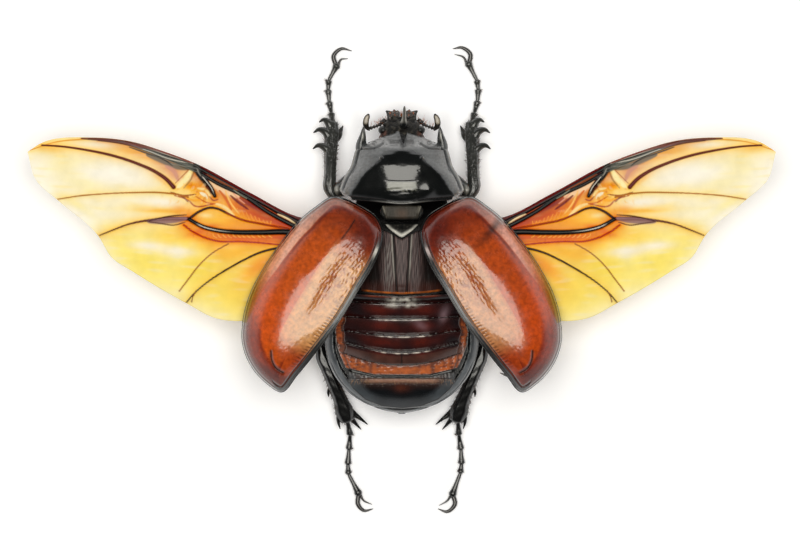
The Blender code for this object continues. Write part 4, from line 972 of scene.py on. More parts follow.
# %% The two hind wings
FILM_THICK = 0.24
half_thick = 0.5 * FILM_THICK
top = xyz(wing_x, wing_y, wing_z + half_thick + wing_rise)
low = xyz(wing_x, wing_y, wing_z - half_thick - 0.5 * np.maximum(wing_rise, 0.0))
for side_name, side in SIDES.items():
    Form().add(slab(top, low), both_faces(wing_tint), both_faces(wing_shine),
               both_faces(wing_veil), mirror=side).make(
        "hind_wing_" + side_name, wing_film, "wing_membrane", "hindwing_" + side_name)

# %% [markdown]
# ## Black armour
#
# The thorax is a thick dome of black cuticle. Where it is polished it mirrors the dark
# room round the softbox and looks black, and where it is finely punctured it scatters the
# bright walls and looks grey, a grey that is also painted into its colour as a painted
# reflection. So one finish serves for nearly all of it: a very dark body under a coat,
# whose colour, roughness and punctures are painted point by point.
#
# A loft of rounded cross-sections makes every body piece. Relief is added along the
# normals afterwards, so a groove keeps its true width on a steep flank. From here on,
# `off` is how far a point lies off the midline.


# %% Lofts and relief
LOWER_HALF = 0.82


def loft(stations, rings, sides, edge=0.25):
    """Rings of rounded cross-sections along Y, turned in softly at both ends.

    A station is y, half width, lowest, widest and highest z, and how peaked its upper
    half is: under 1 is broad, 1 is round and over 1 is peaked.
    """
    rows = smooth(stations, rings)
    ends = rows[[0, -1]]
    rows[:, 0] = ends[0, 0] + np.sign(ends[1, 0] - ends[0, 0]) * (
        edge + np.abs(rows[:, 0] - ends[0, 0]) * (1.0 - 2.0 * edge / np.ptp(rows[:, 0])))
    caps = []
    for row, outward in ((rows[0], rows[0] - rows[1]), (rows[-1], rows[-1] - rows[-2])):
        turned = []
        for turn in np.radians([30.0, 60.0, 88.0]):
            inset = edge * (1.0 - math.cos(turn))
            shift = edge * math.sin(turn) * np.sign(outward[0])
            turned.append(row + (shift, -inset, inset, 0.0, -inset, 0.0))
        caps.append(np.array(turned))
    rows = np.vstack([caps[0][::-1], rows, caps[1]])
    angle = 2.0 * math.pi * (np.arange(sides) + 0.5) / sides
    c, s = np.cos(angle)[None, :], np.sin(angle)[None, :]
    y, half, low, wide, high, peak = (rows[:, i:i + 1] for i in range(6))
    bend = np.where(s > 0, peak, LOWER_HALF)
    x = half * np.sign(c) * np.abs(c) ** bend
    z = wide + np.where(s > 0, high - wide, wide - low) * np.sign(s) * np.abs(s) ** bend
    return xyz(x, y, np.maximum(z, 0.0)), rows


def outward(rings, across):
    """The normals of rings of points, pointing out."""
    normal = np.cross(np.gradient(rings, axis=0), across)
    normal /= np.linalg.norm(normal, axis=-1, keepdims=True) + 1e-12
    return normal * np.sign(np.sum(normal * (rings - rings.mean(axis=1, keepdims=True))))


def raised(rings, relief):
    """Rings of points moved out along their normals by a relief in millimetres."""
    across = np.roll(rings, -1, axis=1) - np.roll(rings, 1, axis=1)
    return rings + outward(rings, across) * relief[..., None]


def over_rings(values):
    """Point values for a skin over rings, whose two end points take the mean of a ring."""
    if np.ndim(values) < 2:
        return values
    flat = values.reshape((-1,) + values.shape[2:])
    return np.concatenate([flat, values[:1].mean(axis=1), values[-1:].mean(axis=1)])


def hull(rings, tint, shine, pits, *piece):
    """Makes a piece from rings of points, painted point by point or all alike."""
    form = Form().add(skin(rings), over_rings(tint), over_rings(shine), pits=over_rings(pits))
    form.make(*piece)


# %% Finish of the armour
armour = cuticle("waxed_black_cuticle", (1.42, 0.12), 1.42, 2.5, 0.3, 0.003)
# satin grey: painted reflection of the bright walls on the punctured parts; the cuticle itself is
# black
SATIN_SHEEN_GREY = linear("#3C3E3F")

# %% [markdown]
# ## Pronotum
#
# In a small male the horns are hardly more than corners, so the shield reads as a
# polished triangle with grey satin slopes round it. The triangle's borders are real
# bends in the surface, because the eye finds them from the reflections alone.

# %% Shape of the pronotum
PRONOTUM = [
    (13.75, 9.3, 4.9, 9.0, 17.72, 0.75), (14.2, 10.0, 4.5, 8.9, 17.95, 0.76),
    (14.9, 10.8, 4.1, 8.8, 18.25, 0.78), (15.8, 11.1, 3.8, 8.8, 18.47, 0.84),
    (17.0, 10.85, 3.8, 8.8, 18.64, 0.92), (18.3, 10.3, 3.8, 8.8, 18.78, 1.0),
    (20.4, 9.15, 4.0, 8.8, 18.68, 1.15), (21.6, 8.8, 4.1, 8.8, 18.36, 1.2),
    (22.4, 8.6, 4.2, 8.8, 18.08, 1.2), (23.1, 8.4, 4.3, 8.8, 17.75, 1.15),
    (23.5, 8.2, 4.4, 8.8, 17.2, 1.1), (24.2, 7.6, 4.7, 8.8, 15.4, 1.05),
    (24.8, 6.3, 5.1, 8.7, 13.7, 1.0),
    (25.4, 4.9, 5.6, 8.7, 12.1, 0.95), (26.0, 3.4, 6.6, 8.7, 11.2, 0.95),
    (26.65, 1.4, 7.6, 8.7, 10.3, 0.95),
]
# y and half the width of the polished table there
TABLE_EDGE = np.array([(13.7, 8.6), (14.4, 9.5), (15.2, 9.1), (16.2, 8.46), (18.8, 6.7),
                       (21.5, 3.8), (22.9, 3.0)])
# y and the bow of the table across the back there
TABLE_BOW = np.array([(13.7, 0.046), (18.0, 0.043), (20.4, 0.033)])
STEEPEST = 0.3


def sloped(x, bow):
    """The drop of a bow across the back, straight where it would get too steep."""
    turn = STEEPEST / (2.0 * bow)
    beyond = np.maximum(np.abs(x) - turn, 0.0)
    return bow * np.minimum(np.abs(x), turn) ** 2 + STEEPEST * beyond


grid, rows = loft(PRONOTUM, 230, 320)
x, y, z = np.moveaxis(grid, -1, 0)
half, wide, high, peak = (rows[:, i:i + 1] for i in (1, 3, 4, 5))
upper = ease(z - wide, 0.0, 0.6)
edge = np.interp(rows[:, :1], *TABLE_EDGE.T)
cosine = np.clip(edge / half, 0.0, 0.98) ** (1.0 / peak)
bow = np.interp(rows[:, :1], *TABLE_BOW.T)
rise = (high - sloped(edge, bow) - wide) / (1.0 - cosine ** 2) ** (0.5 * peak)
flank = wide + (z - wide) * np.where(rows[:, :1] < 26.0, rise / (high - wide), 1.0)
table = high - sloped(x, bow)
SOFTNESS = 4.0
lower_of_both = -np.logaddexp(-SOFTNESS * flank, -SOFTNESS * table) / SOFTNESS
on_table = ease(rows[:, :1], 23.2, 22.2) * upper
z = z * (1.0 - on_table) + lower_of_both * on_table
y = y + 0.6 * (x / 10.0) ** 2 * ease(y, 17.0, 13.8)
y = y - 0.38 * bump(x, 0.0, 3.6) * ease(y, 15.6, 14.2)
grid = xyz(x, y, z)
print("table edge at the middle:", round(float(np.interp(18.0, *TABLE_EDGE.T)), 2), "mm")

# %% Relief and paint of the pronotum
off = np.abs(x)
inset = half - off
from_rear = rows[:, :1] - PRONOTUM[0][0]
sides_only = ease(y, 15.4, 16.4) * ease(y, 24.3, 23.6)
side_groove = bump(inset, 0.56, 0.16) * sides_only * upper
side_bead = ease(inset, 0.34, 0.18) * sides_only * upper
rear_bead = bump(from_rear, 0.2, 0.11) * upper
# painted highlight along the rear bead
bead_light = bump(from_rear, 0.22, 0.08) * ease(off, 6.5, 1.0) * upper
rear_groove = bump(from_rear, 0.46, 0.12) * upper
collar = near_line(off, y, [(3.4, 24.4), (4.2, 23.8), (5.0, 23.5), (6.0, 23.45),
                            (7.6, 23.5)], 0.17) * upper
lip = near_line(off, y, [(4.9, 24.5), (5.6, 24.6), (6.4, 25.0)], 0.2) * upper
lobe = patch(off, y, (10.6, 15.3), (0.9, 1.2)) * upper
table_x = np.interp(y, *TABLE_EDGE.T)
uneven = 0.16 * ripple(x, y, 1.3, 35)
polished = ease(off - table_x + uneven, 0.3, -0.25) * ease(y, 22.3, 21.9)
arch = ease(y + 0.06 * x * x + uneven, 23.9, 22.6) * ease(off + uneven, 4.3, 3.2)
arch = arch * ease(y, 20.0, 21.0)
polished = np.maximum(polished, arch) * upper
polished = np.maximum(polished, ease(from_rear, 0.7, 0.5) * upper)
# painted shade on the wall under the rear bead
shade_below_bead = ease(from_rear, 0.1, 0.02)
relief = -0.8 * side_groove + 0.1 * side_bead + 0.1 * rear_bead - 0.12 * rear_groove
# painted reflection of the head horn: a dark wedge on the front slope, also cut in as a notch
wedge = ease(np.abs(x - 0.3) - 0.31 * (y - 24.35), 0.04, -0.04) * upper
relief = relief - 0.34 * collar - 0.2 * lip + 0.12 * lobe - 0.5 * wedge
scratches = ripple(x, y, 1.6, 31)
satin_sheen_wear = ripple(x, y, 3.2, 32)
relief = relief + 0.006 * (1.0 - polished) * scratches
relief = relief + 0.004 * ripple(x, y, 1.5, 36) * ease(y, 15.0, 18.0)
relief = relief + 0.006 * ripple(x, 1.8 * y, 0.8, 37, 16) * bump(y, 19.6, 1.0) * polished
seam = bump(y - 0.02 * x * x, 17.45, 0.12) * ease(off, 3.2, 2.6)
ragged = ripple(1.6 * x, y, 0.8, 33, 14)
ripples = ragged * ease(y, 17.0, 16.0) * ease(off, 4.0, 2.0)
relief = relief - 0.03 * seam + 0.02 * ripples
relief = relief + 0.29 * patch(x, y, (4.95, 16.0), (1.15, 1.1)) * upper
# painted highlight: the lower, brighter part of the softbox's picture on the table
highlight_band = ease(y, 17.4, 17.25) * ease(y - 0.3 * ragged, 15.7, 16.0) * ease(off, 2.8, 2.4)
grid = raised(grid, relief)
speckle = 0.3 * ripple(x, y, 0.6, 34, 16) + 0.34 * satin_sheen_wear - 0.5 * lobe
tint = painted(
    SATIN_SHEEN_GREY * (1.0 + speckle[..., None]),
    (JET, polished),
    ("#74746A", 0.75 * highlight_band * upper),
    (JET, np.clip(side_groove + collar + 0.9 * lip + rear_groove, 0.0, 1.0)),
    (JET, wedge),
    (JET, shade_below_bead),
    # painted highlight along the side beads
    ("#A8A6A0", 0.75 * side_bead),
    ("#B4B2AC", 0.45 * bead_light))
shine = 0.46 - 0.31 * polished + 0.05 * satin_sheen_wear + 0.3 * wedge + 0.4 * shade_below_bead
pits = (1.0 - polished) * (1.0 - side_bead) * (1.0 - np.minimum(collar + side_groove, 1.0))
hull(grid, tint, shine, pits, "pronotum_shield", armour, "black_cuticle", "pronotum")

# %% Horns of the pronotum
FRONT_HORN = [(7.0, 22.6, 9.6, 1.2), (7.3, 24.0, 9.8, 1.0), (7.15, 25.1, 10.0, 0.77),
              (7.0, 25.9, 10.3, 0.57), (6.92, 26.8, 10.5, 0.35), (6.85, 27.4, 10.6, 0.15)]
UPPER_HORN = [(3.3, 20.9, 17.0, 0.9), (3.5, 21.5, 17.5, 0.65), (3.65, 21.8, 18.1, 0.2)]
for side_name, side in SIDES.items():
    points, faces = tube(FRONT_HORN, 46, 48, relief=lambda share, angle:
                         -0.12 * bump(np.cos(angle), -0.5, 0.3) * (np.sin(angle) > 0))
    x, y, _ = points.T
    core = bump(x, 7.0, 0.5) * ease(y, 23.9, 24.8)
    # the pale streak near the horn's tip is a painted highlight
    tint = painted(SATIN_SHEEN_GREY, (JET, core), ("#B8B6AE", 0.8 * patch(x, y, (7.0, 25.7), (0.16, 0.6))))
    Form().add((points, faces), tint, 0.4 - 0.25 * core, pits=0.5 * (1.0 - core),
               mirror=side).make(
        "front_horn_" + side_name, armour, "black_cuticle", "horn_front_" + side_name)
    Form().add(tube(UPPER_HORN, 24, 40), JET, 0.24, pits=0.1,
               mirror=side).make(
        "upper_horn_" + side_name, armour, "black_cuticle", "horn_upper_" + side_name)

# %% [markdown]
# ## Head
#
# The head is a small rough box under the front of the shield. It carries a thin upright
# horn, two bulging eyes, squared jaws and short feelers with a leafed club. Rough cuticle
# between polished edges is what makes it read as a face, so the grain of its finish is
# twice as deep as the shield's.

# %% Head capsule
dull_cuticle = cuticle("matte_black_cuticle", (1.06, 0.4), 1.22, 1.8, 0.3, 0.006)
HEAD = [
    (23.7, 3.9, 4.2, 6.8, 9.4, 0.85), (25.6, 4.15, 3.6, 6.4, 9.9, 0.85),
    (26.8, 3.5, 3.6, 6.2, 9.7, 0.85), (27.8, 3.2, 3.8, 6.0, 9.0, 0.8),
    (28.6, 2.9, 4.2, 5.8, 7.8, 0.75), (29.3, 2.3, 4.7, 5.7, 6.8, 0.75),
]
grid, rows = loft(HEAD, 120, 200, edge=0.2)
x, y, z = np.moveaxis(grid, -1, 0)
upper = ease(z - rows[:, 3:4], 0.0, 0.5)
off = np.abs(x - 0.3 * upper * ease(y, 26.0, 28.0))
ridge = near_line(off, y, [(0.35, 27.4), (0.9, 28.4), (1.9, 29.4)], 0.22) * upper
clypeus = bump(y, 28.55, 0.14) * ease(off, 2.6, 2.2) * upper
canthus = patch(off, y, (3.35, 27.95), (0.7, 0.35), -20.0) * upper
front_rim = bump(y, 29.15, 0.14) * upper
crumbs = ripple(x, y, 0.8, 41) + 0.5 * ripple(x, y, 0.4, 42)
relief = 0.32 * ridge - 0.1 * clypeus + 0.35 * canthus + 0.12 * front_rim
relief = relief + 0.05 * crumbs * upper
mouth_seams = bump(y, 27.6, 0.12) + bump(off, 1.3, 0.1) * ease(y, 26.4, 26.8)
relief = relief - 0.1 * (1.0 - upper) * mouth_seams
cheek = ease(off, 2.5, 3.1) * ease(y, 27.0, 26.5) * ease(y, 24.4, 25.2)
tint = painted(
    "#11100E",
    ("#4A463E", np.clip(0.4 * crumbs, 0.0, 0.7) * upper),
    ("#6C675E", 0.3 * ridge),
    (JET, np.clip(clypeus + 0.6 * front_rim, 0.0, 1.0)),
    ("#6A4438", 0.8 * cheek * (0.6 + 0.4 * crumbs)))
hull(raised(grid, relief), tint, 0.5, 0.9, "head_capsule", dull_cuticle, "black_cuticle", "head")

# %% Horn of the head
HEAD_HORN = [(0.35, 27.3, 7.8, 0.95), (0.35, 27.9, 9.6, 0.78), (0.42, 28.9, 11.3, 0.42),
             (0.47, 29.9, 12.7, 0.3), (0.5, 30.8, 13.9, 0.2), (0.5, 31.0, 14.2, 0.1)]
points, faces = tube(HEAD_HORN, 70, 40, up=(0.0, 1.0, 0.0))
# painted highlights down both flanks of the horn, with the dark keel between
keel = bump(points[:, 0], 0.42, 0.14)
tint = painted(JET, ("#A8A59E", ease(points[:, 1], 27.9, 28.6) * (1.0 - 0.95 * keel)))
Form().add((points, faces), tint, 0.28, pits=0.2).make(
    "head_horn_fine", armour, "black_cuticle", "head_horn")


# %% Small plates and balls
def ball(centre, radii, rings, sides):
    """An egg shape."""
    turn = math.pi * (np.arange(rings) + 0.5) / rings
    angle = 2.0 * math.pi * np.arange(sides) / sides
    turn = turn[:, None]
    unit = xyz(np.sin(turn) * np.cos(angle), -np.cos(turn), np.sin(turn) * np.sin(angle))
    return skin(centre + np.array(radii) * unit)


def rolled(inset, radius):
    """How far a rolled rim lies under the plate."""
    turn = np.clip(1.0 - inset / radius, 0.0, 1.0)
    return radius * (1.0 - np.sqrt(1.0 - turn ** 2))


def pad(outline, top, low, rings, sides, edge):
    """A plate over an outline whose rim is rolled, made of rings drawn in to its middle."""
    rim = smooth(outline, sides, closed=True)
    middle = rim.mean(axis=0)
    shares = np.linspace(0.02, 1.0, rings) ** 0.8
    reach = np.linalg.norm(rim - middle, axis=1)
    flat = middle + (rim - middle) * shares[:, None, None]
    drop = rolled((1.0 - shares)[:, None] * reach, edge)
    x, y = flat[..., 0], flat[..., 1]
    return skin(np.concatenate([xyz(x, y, top(x, y) - drop), xyz(x, y, low + drop)[::-1]]))


# %% Eyes
eye_lens = cuticle("faceted_eye_cornea", (1.25, 0.35), 1.3, 1.0, 0.2, 0.001, pitch=0.16)
EYE_CENTRE = (3.35, 26.95, 7.0)
EYE_RADII = (0.9, 0.8, 1.2)
for side_name, side in SIDES.items():
    Form().add(ball(EYE_CENTRE, EYE_RADII, 50, 64), "#0B0D0B", 0.35, pits=0.35,
               mirror=side).make(
        "compound_eye_" + side_name, eye_lens, "eye_lens", "eye_" + side_name)

# %% Jaws
JAW = [(0.5, 28.0), (2.5, 28.0), (2.62, 28.8), (2.68, 29.6), (2.84, 30.2), (2.93, 30.48),
       (2.8, 30.57), (2.3, 30.54), (1.9, 30.44), (1.5, 30.44), (1.1, 30.53), (0.72, 30.56),
       (0.56, 30.46), (0.42, 29.2)]
for side_name, side in SIDES.items():
    shift = 0.25 if side > 0 else -0.05
    outline = [(x + shift * (x < 1.4), y) for x, y in JAW]
    points, faces = pad(outline, lambda x, y: 6.9 - 0.25 * (y - 28.0) + 0.07 * ripple(x, y, 0.5, 43),
                        4.3, 30, 130, 0.12)
    x, y, _ = points.T
    outer = np.maximum(ease(x, 2.1, 2.35), 0.7 * ease(x, 1.05, 0.85))
    crumbs = 0.5 + 0.5 * ripple(x, y, 0.5, 44)
    spots = ease(crumbs, 0.25, 0.08) * ease(y, 29.2, 29.8)
    tint = painted(
        "#1E1712",
        ("#4A3A30", np.clip(0.5 * crumbs, 0.0, 1.0)),
        ("#9A4A1E", 0.8 * spots),
        ("#12100D", outer))
    Form().add((points, faces), tint, 0.35, pits=0.7, mirror=side).make(
        "jaw_" + side_name, armour, "black_cuticle", "mandible_" + side_name)

# %% Feelers
STEM = [(2.7, 28.5, 5.2, 0.4), (3.3, 28.6, 5.3, 0.5), (4.0, 28.0, 5.35, 0.3),
        (4.6, 27.75, 5.4, 0.26), (5.3, 27.5, 5.45, 0.28), (6.0, 27.25, 5.5, 0.34)]
CLUB = [(5.95, 27.2, 5.5, 0.34, 0.2), (6.4, 27.7, 5.6, 0.5, 0.28),
        (6.5, 28.4, 5.7, 0.54, 0.3), (6.35, 29.1, 5.7, 0.5, 0.28),
        (6.1, 29.6, 5.7, 0.38, 0.22), (6.0, 29.85, 5.7, 0.2, 0.14)]
LEAF_STEP = 0.5
STEM_SIDES = 24
feeler_stems = []
for side_name, side in SIDES.items():
    form = Form()
    knots = tube(STEM, 60, STEM_SIDES, relief=lambda share, angle:
                 0.09 * np.cos(2.0 * math.pi * 7.0 * share))
    form.add(knots, "#1C1613", 0.35, pits=0.3, mirror=side)
    feeler_stems.append(knots[0] * (side, 1.0, 1.0))
    for leaf in (-1, 0, 1):
        rows = [(x, y, z + LEAF_STEP * leaf * min(1.0, 0.3 + 0.35 * i), wide, high)
                for i, (x, y, z, wide, high) in enumerate(CLUB)]
        points, faces = tube(rows, 44, 28)
        # painted highlight on the top of each club leaf
        centre = ease(points[:, 2], rows[2][2] + 0.16, rows[2][2] + 0.25)
        form.add((points, faces), painted("#17130F", ("#8C8272", centre)), 0.3, mirror=side)
    form.make("feeler_" + side_name, armour, "black_cuticle", "antenna_" + side_name)

# %% Mouth
PALP = [(1.1, 27.4, 3.9, 0.42), (1.8, 28.8, 3.5, 0.32), (1.7, 30.0, 3.7, 0.3),
        (1.3, 30.7, 3.9, 0.18)]
form = Form()
for side in SIDES.values():
    form.add(tube(PALP, 50, 24, relief=lambda share, angle:
                  0.05 * np.cos(2.0 * math.pi * 4.0 * share)),
             "#4A2616", 0.3, mirror=side)
chin = ball((0.0, 27.6, 3.7), (2.0, 1.6, 0.7), 40, 60)
form.add(chin, "#33190F", 0.4, pits=0.6)
form.make("mouth_parts", armour, "bristle", "palps")

# %% [markdown]
# ## Plates of the back
#
# With the wings spread, the soft-looking back shows: the grey-brown thorax plates with
# fine striae from the flight muscles, and then the belly's upper plates, dark red-brown
# and glossy, joined by leathery orange membrane. Each is a sheet between two margins.


# %% Sheets between margins
def sheet(front, rear, sides, rows, columns):
    """A grid over a plate, from its margins at +X.

    Front and rear hold x and y, and sides hold a share from front to rear and a half
    width. The result is x, y, the share back, and the distance from the rim.
    """
    share = np.linspace(0.0, 1.0, rows)
    share = 0.6 * share + 0.4 * (0.5 - 0.5 * np.cos(math.pi * share))
    across = np.linspace(-1.0, 1.0, columns)
    across = 0.6 * across + 0.4 * np.sin(0.5 * math.pi * across)
    reach = np.interp(share, *np.array(sides).T)[:, None]
    x = across * reach
    first = np.interp(np.abs(x), *np.array(front).T)
    last = np.interp(np.abs(x), *np.array(rear).T)
    y = first + (last - first) * share[:, None]
    inset = np.minimum(reach - np.abs(x), np.minimum(first - y, y - last))
    return x, y, share[:, None], inset


def plate(top, under, tint, shine, pits, *piece):
    """Makes a plate from its top and the height of its under side.

    Tint, shine and pits each hold the top's value and the under side's.
    """
    grid = xyz(top[..., 0], top[..., 1], under)
    tint, shine, pits = (
        both_faces(np.broadcast_to(above, top.shape[:2] + np.shape(above)[2:]), below)
        for above, below in (tint, shine, pits))
    Form().add(slab(top, grid), tint, shine, pits=pits).make(*piece)


back_cuticle = cuticle("striated_notum_cuticle", (1.1, 0.4), 1.22, 1.4, 0.22, 0.006,
                       stretch=(2.6, 0.5, 1.0))
belly_cuticle = cuticle("glossy_tergite_cuticle", (1.45, 0.09), 1.45, 1.8, 0.3, 0.004)
# height of the belly plates' under side; the others lie a little over it
UNDER = 9.6

# %% Middle plate and shield of the back
x, y, back, inset = sheet([(0.0, 13.3), (3.5, 13.2), (3.9, 13.0)], [(0.0, 10.55), (3.9, 10.75)],
                          [(0.0, 3.4), (0.2, 3.85), (0.6, 3.8), (1.0, 3.1)], 91, 130)
off = np.abs(x)
side_ridge = bump(off + 0.8 * back, 3.4, 0.17)
z = 14.6 - 0.03 * x * x - rolled(inset, 0.3) + 0.22 * side_ridge + 0.015 * ripple(x, y, 0.7, 51)
z = z - 0.5 * ease(back, 0.75, 1.0)
streaks = np.clip(0.3 + 0.5 * ripple(3.0 * x, 0.4 * y, 0.9, 60), 0.0, 1.0)
tint = painted(
    "#35312B",
    ("#68645A", streaks * bump(off, 3.1, 0.5)),
    ("#8A867C", 0.7 * side_ridge * ease(back, 0.7, 0.3)),
    ("#4E3A2C", 0.8 * patch(x, y, (0.0, 11.8), (1.0, 0.9))),
    (JET, ease(back, 0.8, 1.0)),
    (JET, 0.9 * ease(off + 0.8 * back, 3.5, 3.7)))
plate(xyz(x, y, z), np.minimum(UNDER + 1.4, z - 0.3), (tint, "#1A1210"), (0.42, 0.42),
      (0.3, 0.3), "mesonotum_plate", back_cuticle, "brown_cuticle", "mesonotum")

x, y, _, inset = sheet([(0.0, 10.1), (3.2, 10.2)],
                       [(0.0, 7.5), (0.5, 7.7), (2.0, 8.8), (3.2, 10.05)],
                       [(0.0, 3.1), (1.0, 3.1)], 91, 151)
off = np.abs(x)
vee, _ = to_line(off, y, np.array([[0.0, 7.75], [0.5, 7.95], [1.9, 8.95], [2.7, 9.7]]))
z = 14.5 - 0.04 * x * x - rolled(inset, 0.45) + 0.1 * bump(vee, 0.0, 0.3) - 0.6 * ease(y, 8.8, 10.1)
dimple = patch(x, y, (0.0, 9.4), (0.5, 0.4))
z = z - 0.12 * dimple + 0.02 * ripple(x, y, 0.6, 52)
grit = ripple(x, y, 0.5, 64)
# painted highlight along the raised V
vee_light = bump(vee, 0.05, 0.26 + 0.16 * ease(y, 9.0, 8.0)) * (0.6 + 0.4 * ease(y, 9.4, 8.2))
tint = painted(
    "#191816",
    ("#45433E", np.clip(0.4 * grit, 0.0, 1.0)),
    ("#CFCDC4", vee_light),
    (JET, np.maximum(dimple, ease(y, 9.7, 10.0))))
plate(xyz(x, y, z), np.minimum(UNDER + 2.6, z - 0.25), (tint, JET),
      (0.6 - 0.4 * bump(vee, 0.0, 0.24), 0.4), (1.0 - bump(vee, 0.0, 0.4), 0.0),
      "scutellum_plate", dull_cuticle, "black_cuticle", "scutellum")

# %% Rear plate of the thorax
x, y, _, inset = sheet([(0.0, 7.2), (1.4, 7.9), (2.7, 8.6), (4.2, 9.0), (6.8, 7.4), (7.6, 6.8)],
                       [(0.0, -2.7), (4.0, -2.5), (7.6, -2.1)],
                       [(0.0, 4.6), (0.15, 6.4), (0.4, 7.3), (0.7, 7.6), (1.0, 7.4)], 160, 181)
off = np.abs(x)
furrow = off - 1.45 + 0.06 * (7.6 - y)
groove = bump(furrow, 0.0, 0.13)
rib = bump(furrow, 0.34, 0.14)
wrinkled = bump(off, 2.3, 0.9) * ease(y, 6.8, 5.5)
crinkle = ripple(2.4 * x, 0.5 * y, 0.8, 53)
striae = ripple(3.6 * x, 0.25 * y, 0.9, 54)
outer = ease(off, 3.0, 4.6)
z = 13.9 - 0.03 * x * x - rolled(inset, 0.4) - 0.3 * groove + 0.14 * rib
z = z + 0.05 * wrinkled * crinkle + 0.015 * striae - 0.4 * outer
z = z - 0.2 * patch(x, y, (0.0, -1.6), (1.2, 0.6))
tint = painted(
    "#2A2022",
    ("#6E5C5A", np.clip(0.45 + 0.55 * striae, 0.0, 1.0)),
    # painted highlight on the wrinkles' crests, on the left side only
    ("#8E8C86", np.clip(wrinkled * (0.1 + 0.8 * crinkle), 0.0, 0.9) * ease(x, 1.5, -1.0)))
# painted shade: the right side is darker
tint = tint * (0.85 - 0.1 * ease(x, 0.0, 2.0))[..., None]
from_rear = y + 2.7 - 0.0104 * x * x
hind_rim = ease(from_rear, 0.5, 0.36) * ease(off, 7.4, 6.0)
tint = painted(
    tint,
    ("#A4A098", 0.7 * rib * ease(y, -1.5, 3.0)),
    ("#140E0D", outer),
    ("#3A1C16", 0.7 * ease(y, 0.4, -1.6)),
    (JET, groove),
    ("#A4561F", hind_rim * (0.7 + 0.3 * ripple(x, y, 1.4, 66))))
plate(xyz(x, y, z), np.minimum(UNDER + 2.2, z - 0.3), (tint, "#1A1210"), (0.4, 0.4),
      (0.2, 0.2), "metanotum_plate", back_cuticle, "brown_cuticle", "metanotum")

# %% Upper plates of the belly
TERGITE_LINES = np.array([-2.75, -4.3, -7.0, -10.05, -13.0, -15.3, -19.2])
x, y, _, inset = sheet([(0.0, -3.0), (7.6, -2.45), (8.8, -2.6), (12.3, -3.4)],
                       [(0.0, -17.3), (5.0, -17.25), (9.6, -16.2), (12.3, -15.2)],
                       [(0.0, 9.6), (0.1, 10.6), (0.25, 11.5), (0.5, 12.2), (0.7, 12.0),
                        (0.85, 11.2), (1.0, 10.2)], 241, 220)
off = np.abs(x)
bowed = y - (0.004 + 0.016 * ease(y, -7.0, -14.0)) * x * x
order = np.clip(np.searchsorted(-TERGITE_LINES, -bowed) - 1, 0, 5)
in_front = TERGITE_LINES[order] - bowed
share = in_front / (TERGITE_LINES[order] - TERGITE_LINES[order + 1])
share = np.clip(share, 0.0, 1.0)
step = np.where(order < 5, 0.9, 0.12)
roll = step * (1.0 - share ** 1.4) * ease(in_front, 0.02, 0.18)
seam = bump(np.where(order == 0, 9.0, in_front), 0.05, 0.11) * ease(off, 11.2, 10.6)
side_x = np.interp(-y, [2.8, 6.4, 9.6, 13.0, 15.0, 17.0], [9.4, 10.2, 10.6, 10.2, 9.6, 8.6])
side_x = side_x + 0.25 * ripple(0.3 * x, y, 2.4, 65)
pleura = ease(off - side_x, -0.15, 0.25) * ease(y, -6.0, -7.2)
band = ease(bowed, -15.3, -15.5)
wrinkle = ripple(0.9 * x, 1.5 * y, 1.1, 55) + 0.5 * ripple(x, y, 0.55, 56)
soft = np.maximum(pleura, band)
z = 12.9 - np.where(off < 6.0, 0.022 * x * x, 0.264 * off - 0.792)
z = z - 0.2 * np.maximum(0.0, -15.0 - y) ** 1.2 - rolled(inset, 0.18)
z = z + roll * (1.0 - pleura) - 0.16 * seam + 0.026 * soft * wrinkle - 0.25 * pleura
z = z + 0.02 * ripple(x, 0.4 * y, 2.6, 57) * (1.0 - soft)
purple = 0.5 + 0.5 * ripple(x, y, 3.4, 58)
strand = np.abs(off - side_x - 0.7) + 0.2 * np.abs(wrinkle)
orange = painted("#5A1E08", ("#B0561A", np.clip(0.55 + 0.45 * wrinkle, 0.0, 1.0)),
                 ("#22100A", pleura * ease(strand, 0.3, 0.75)))
copper = bump(y, -16.4, 0.5) * ease(off, 9.0, 7.0) * band
last_plate = ease(bowed, -13.1, -13.4) * (1.0 - band)
first = ease(bowed, -3.3, -3.1)
glints = patch(off, y, (0.9, -3.6), (1.3, 0.4)) + patch(off, y, (1.6, -4.6), (1.1, 0.42))
ragged = np.clip(0.45 + 0.7 * ripple(x, 0.5 * y, 1.5, 67, 14), 0.0, 1.0)
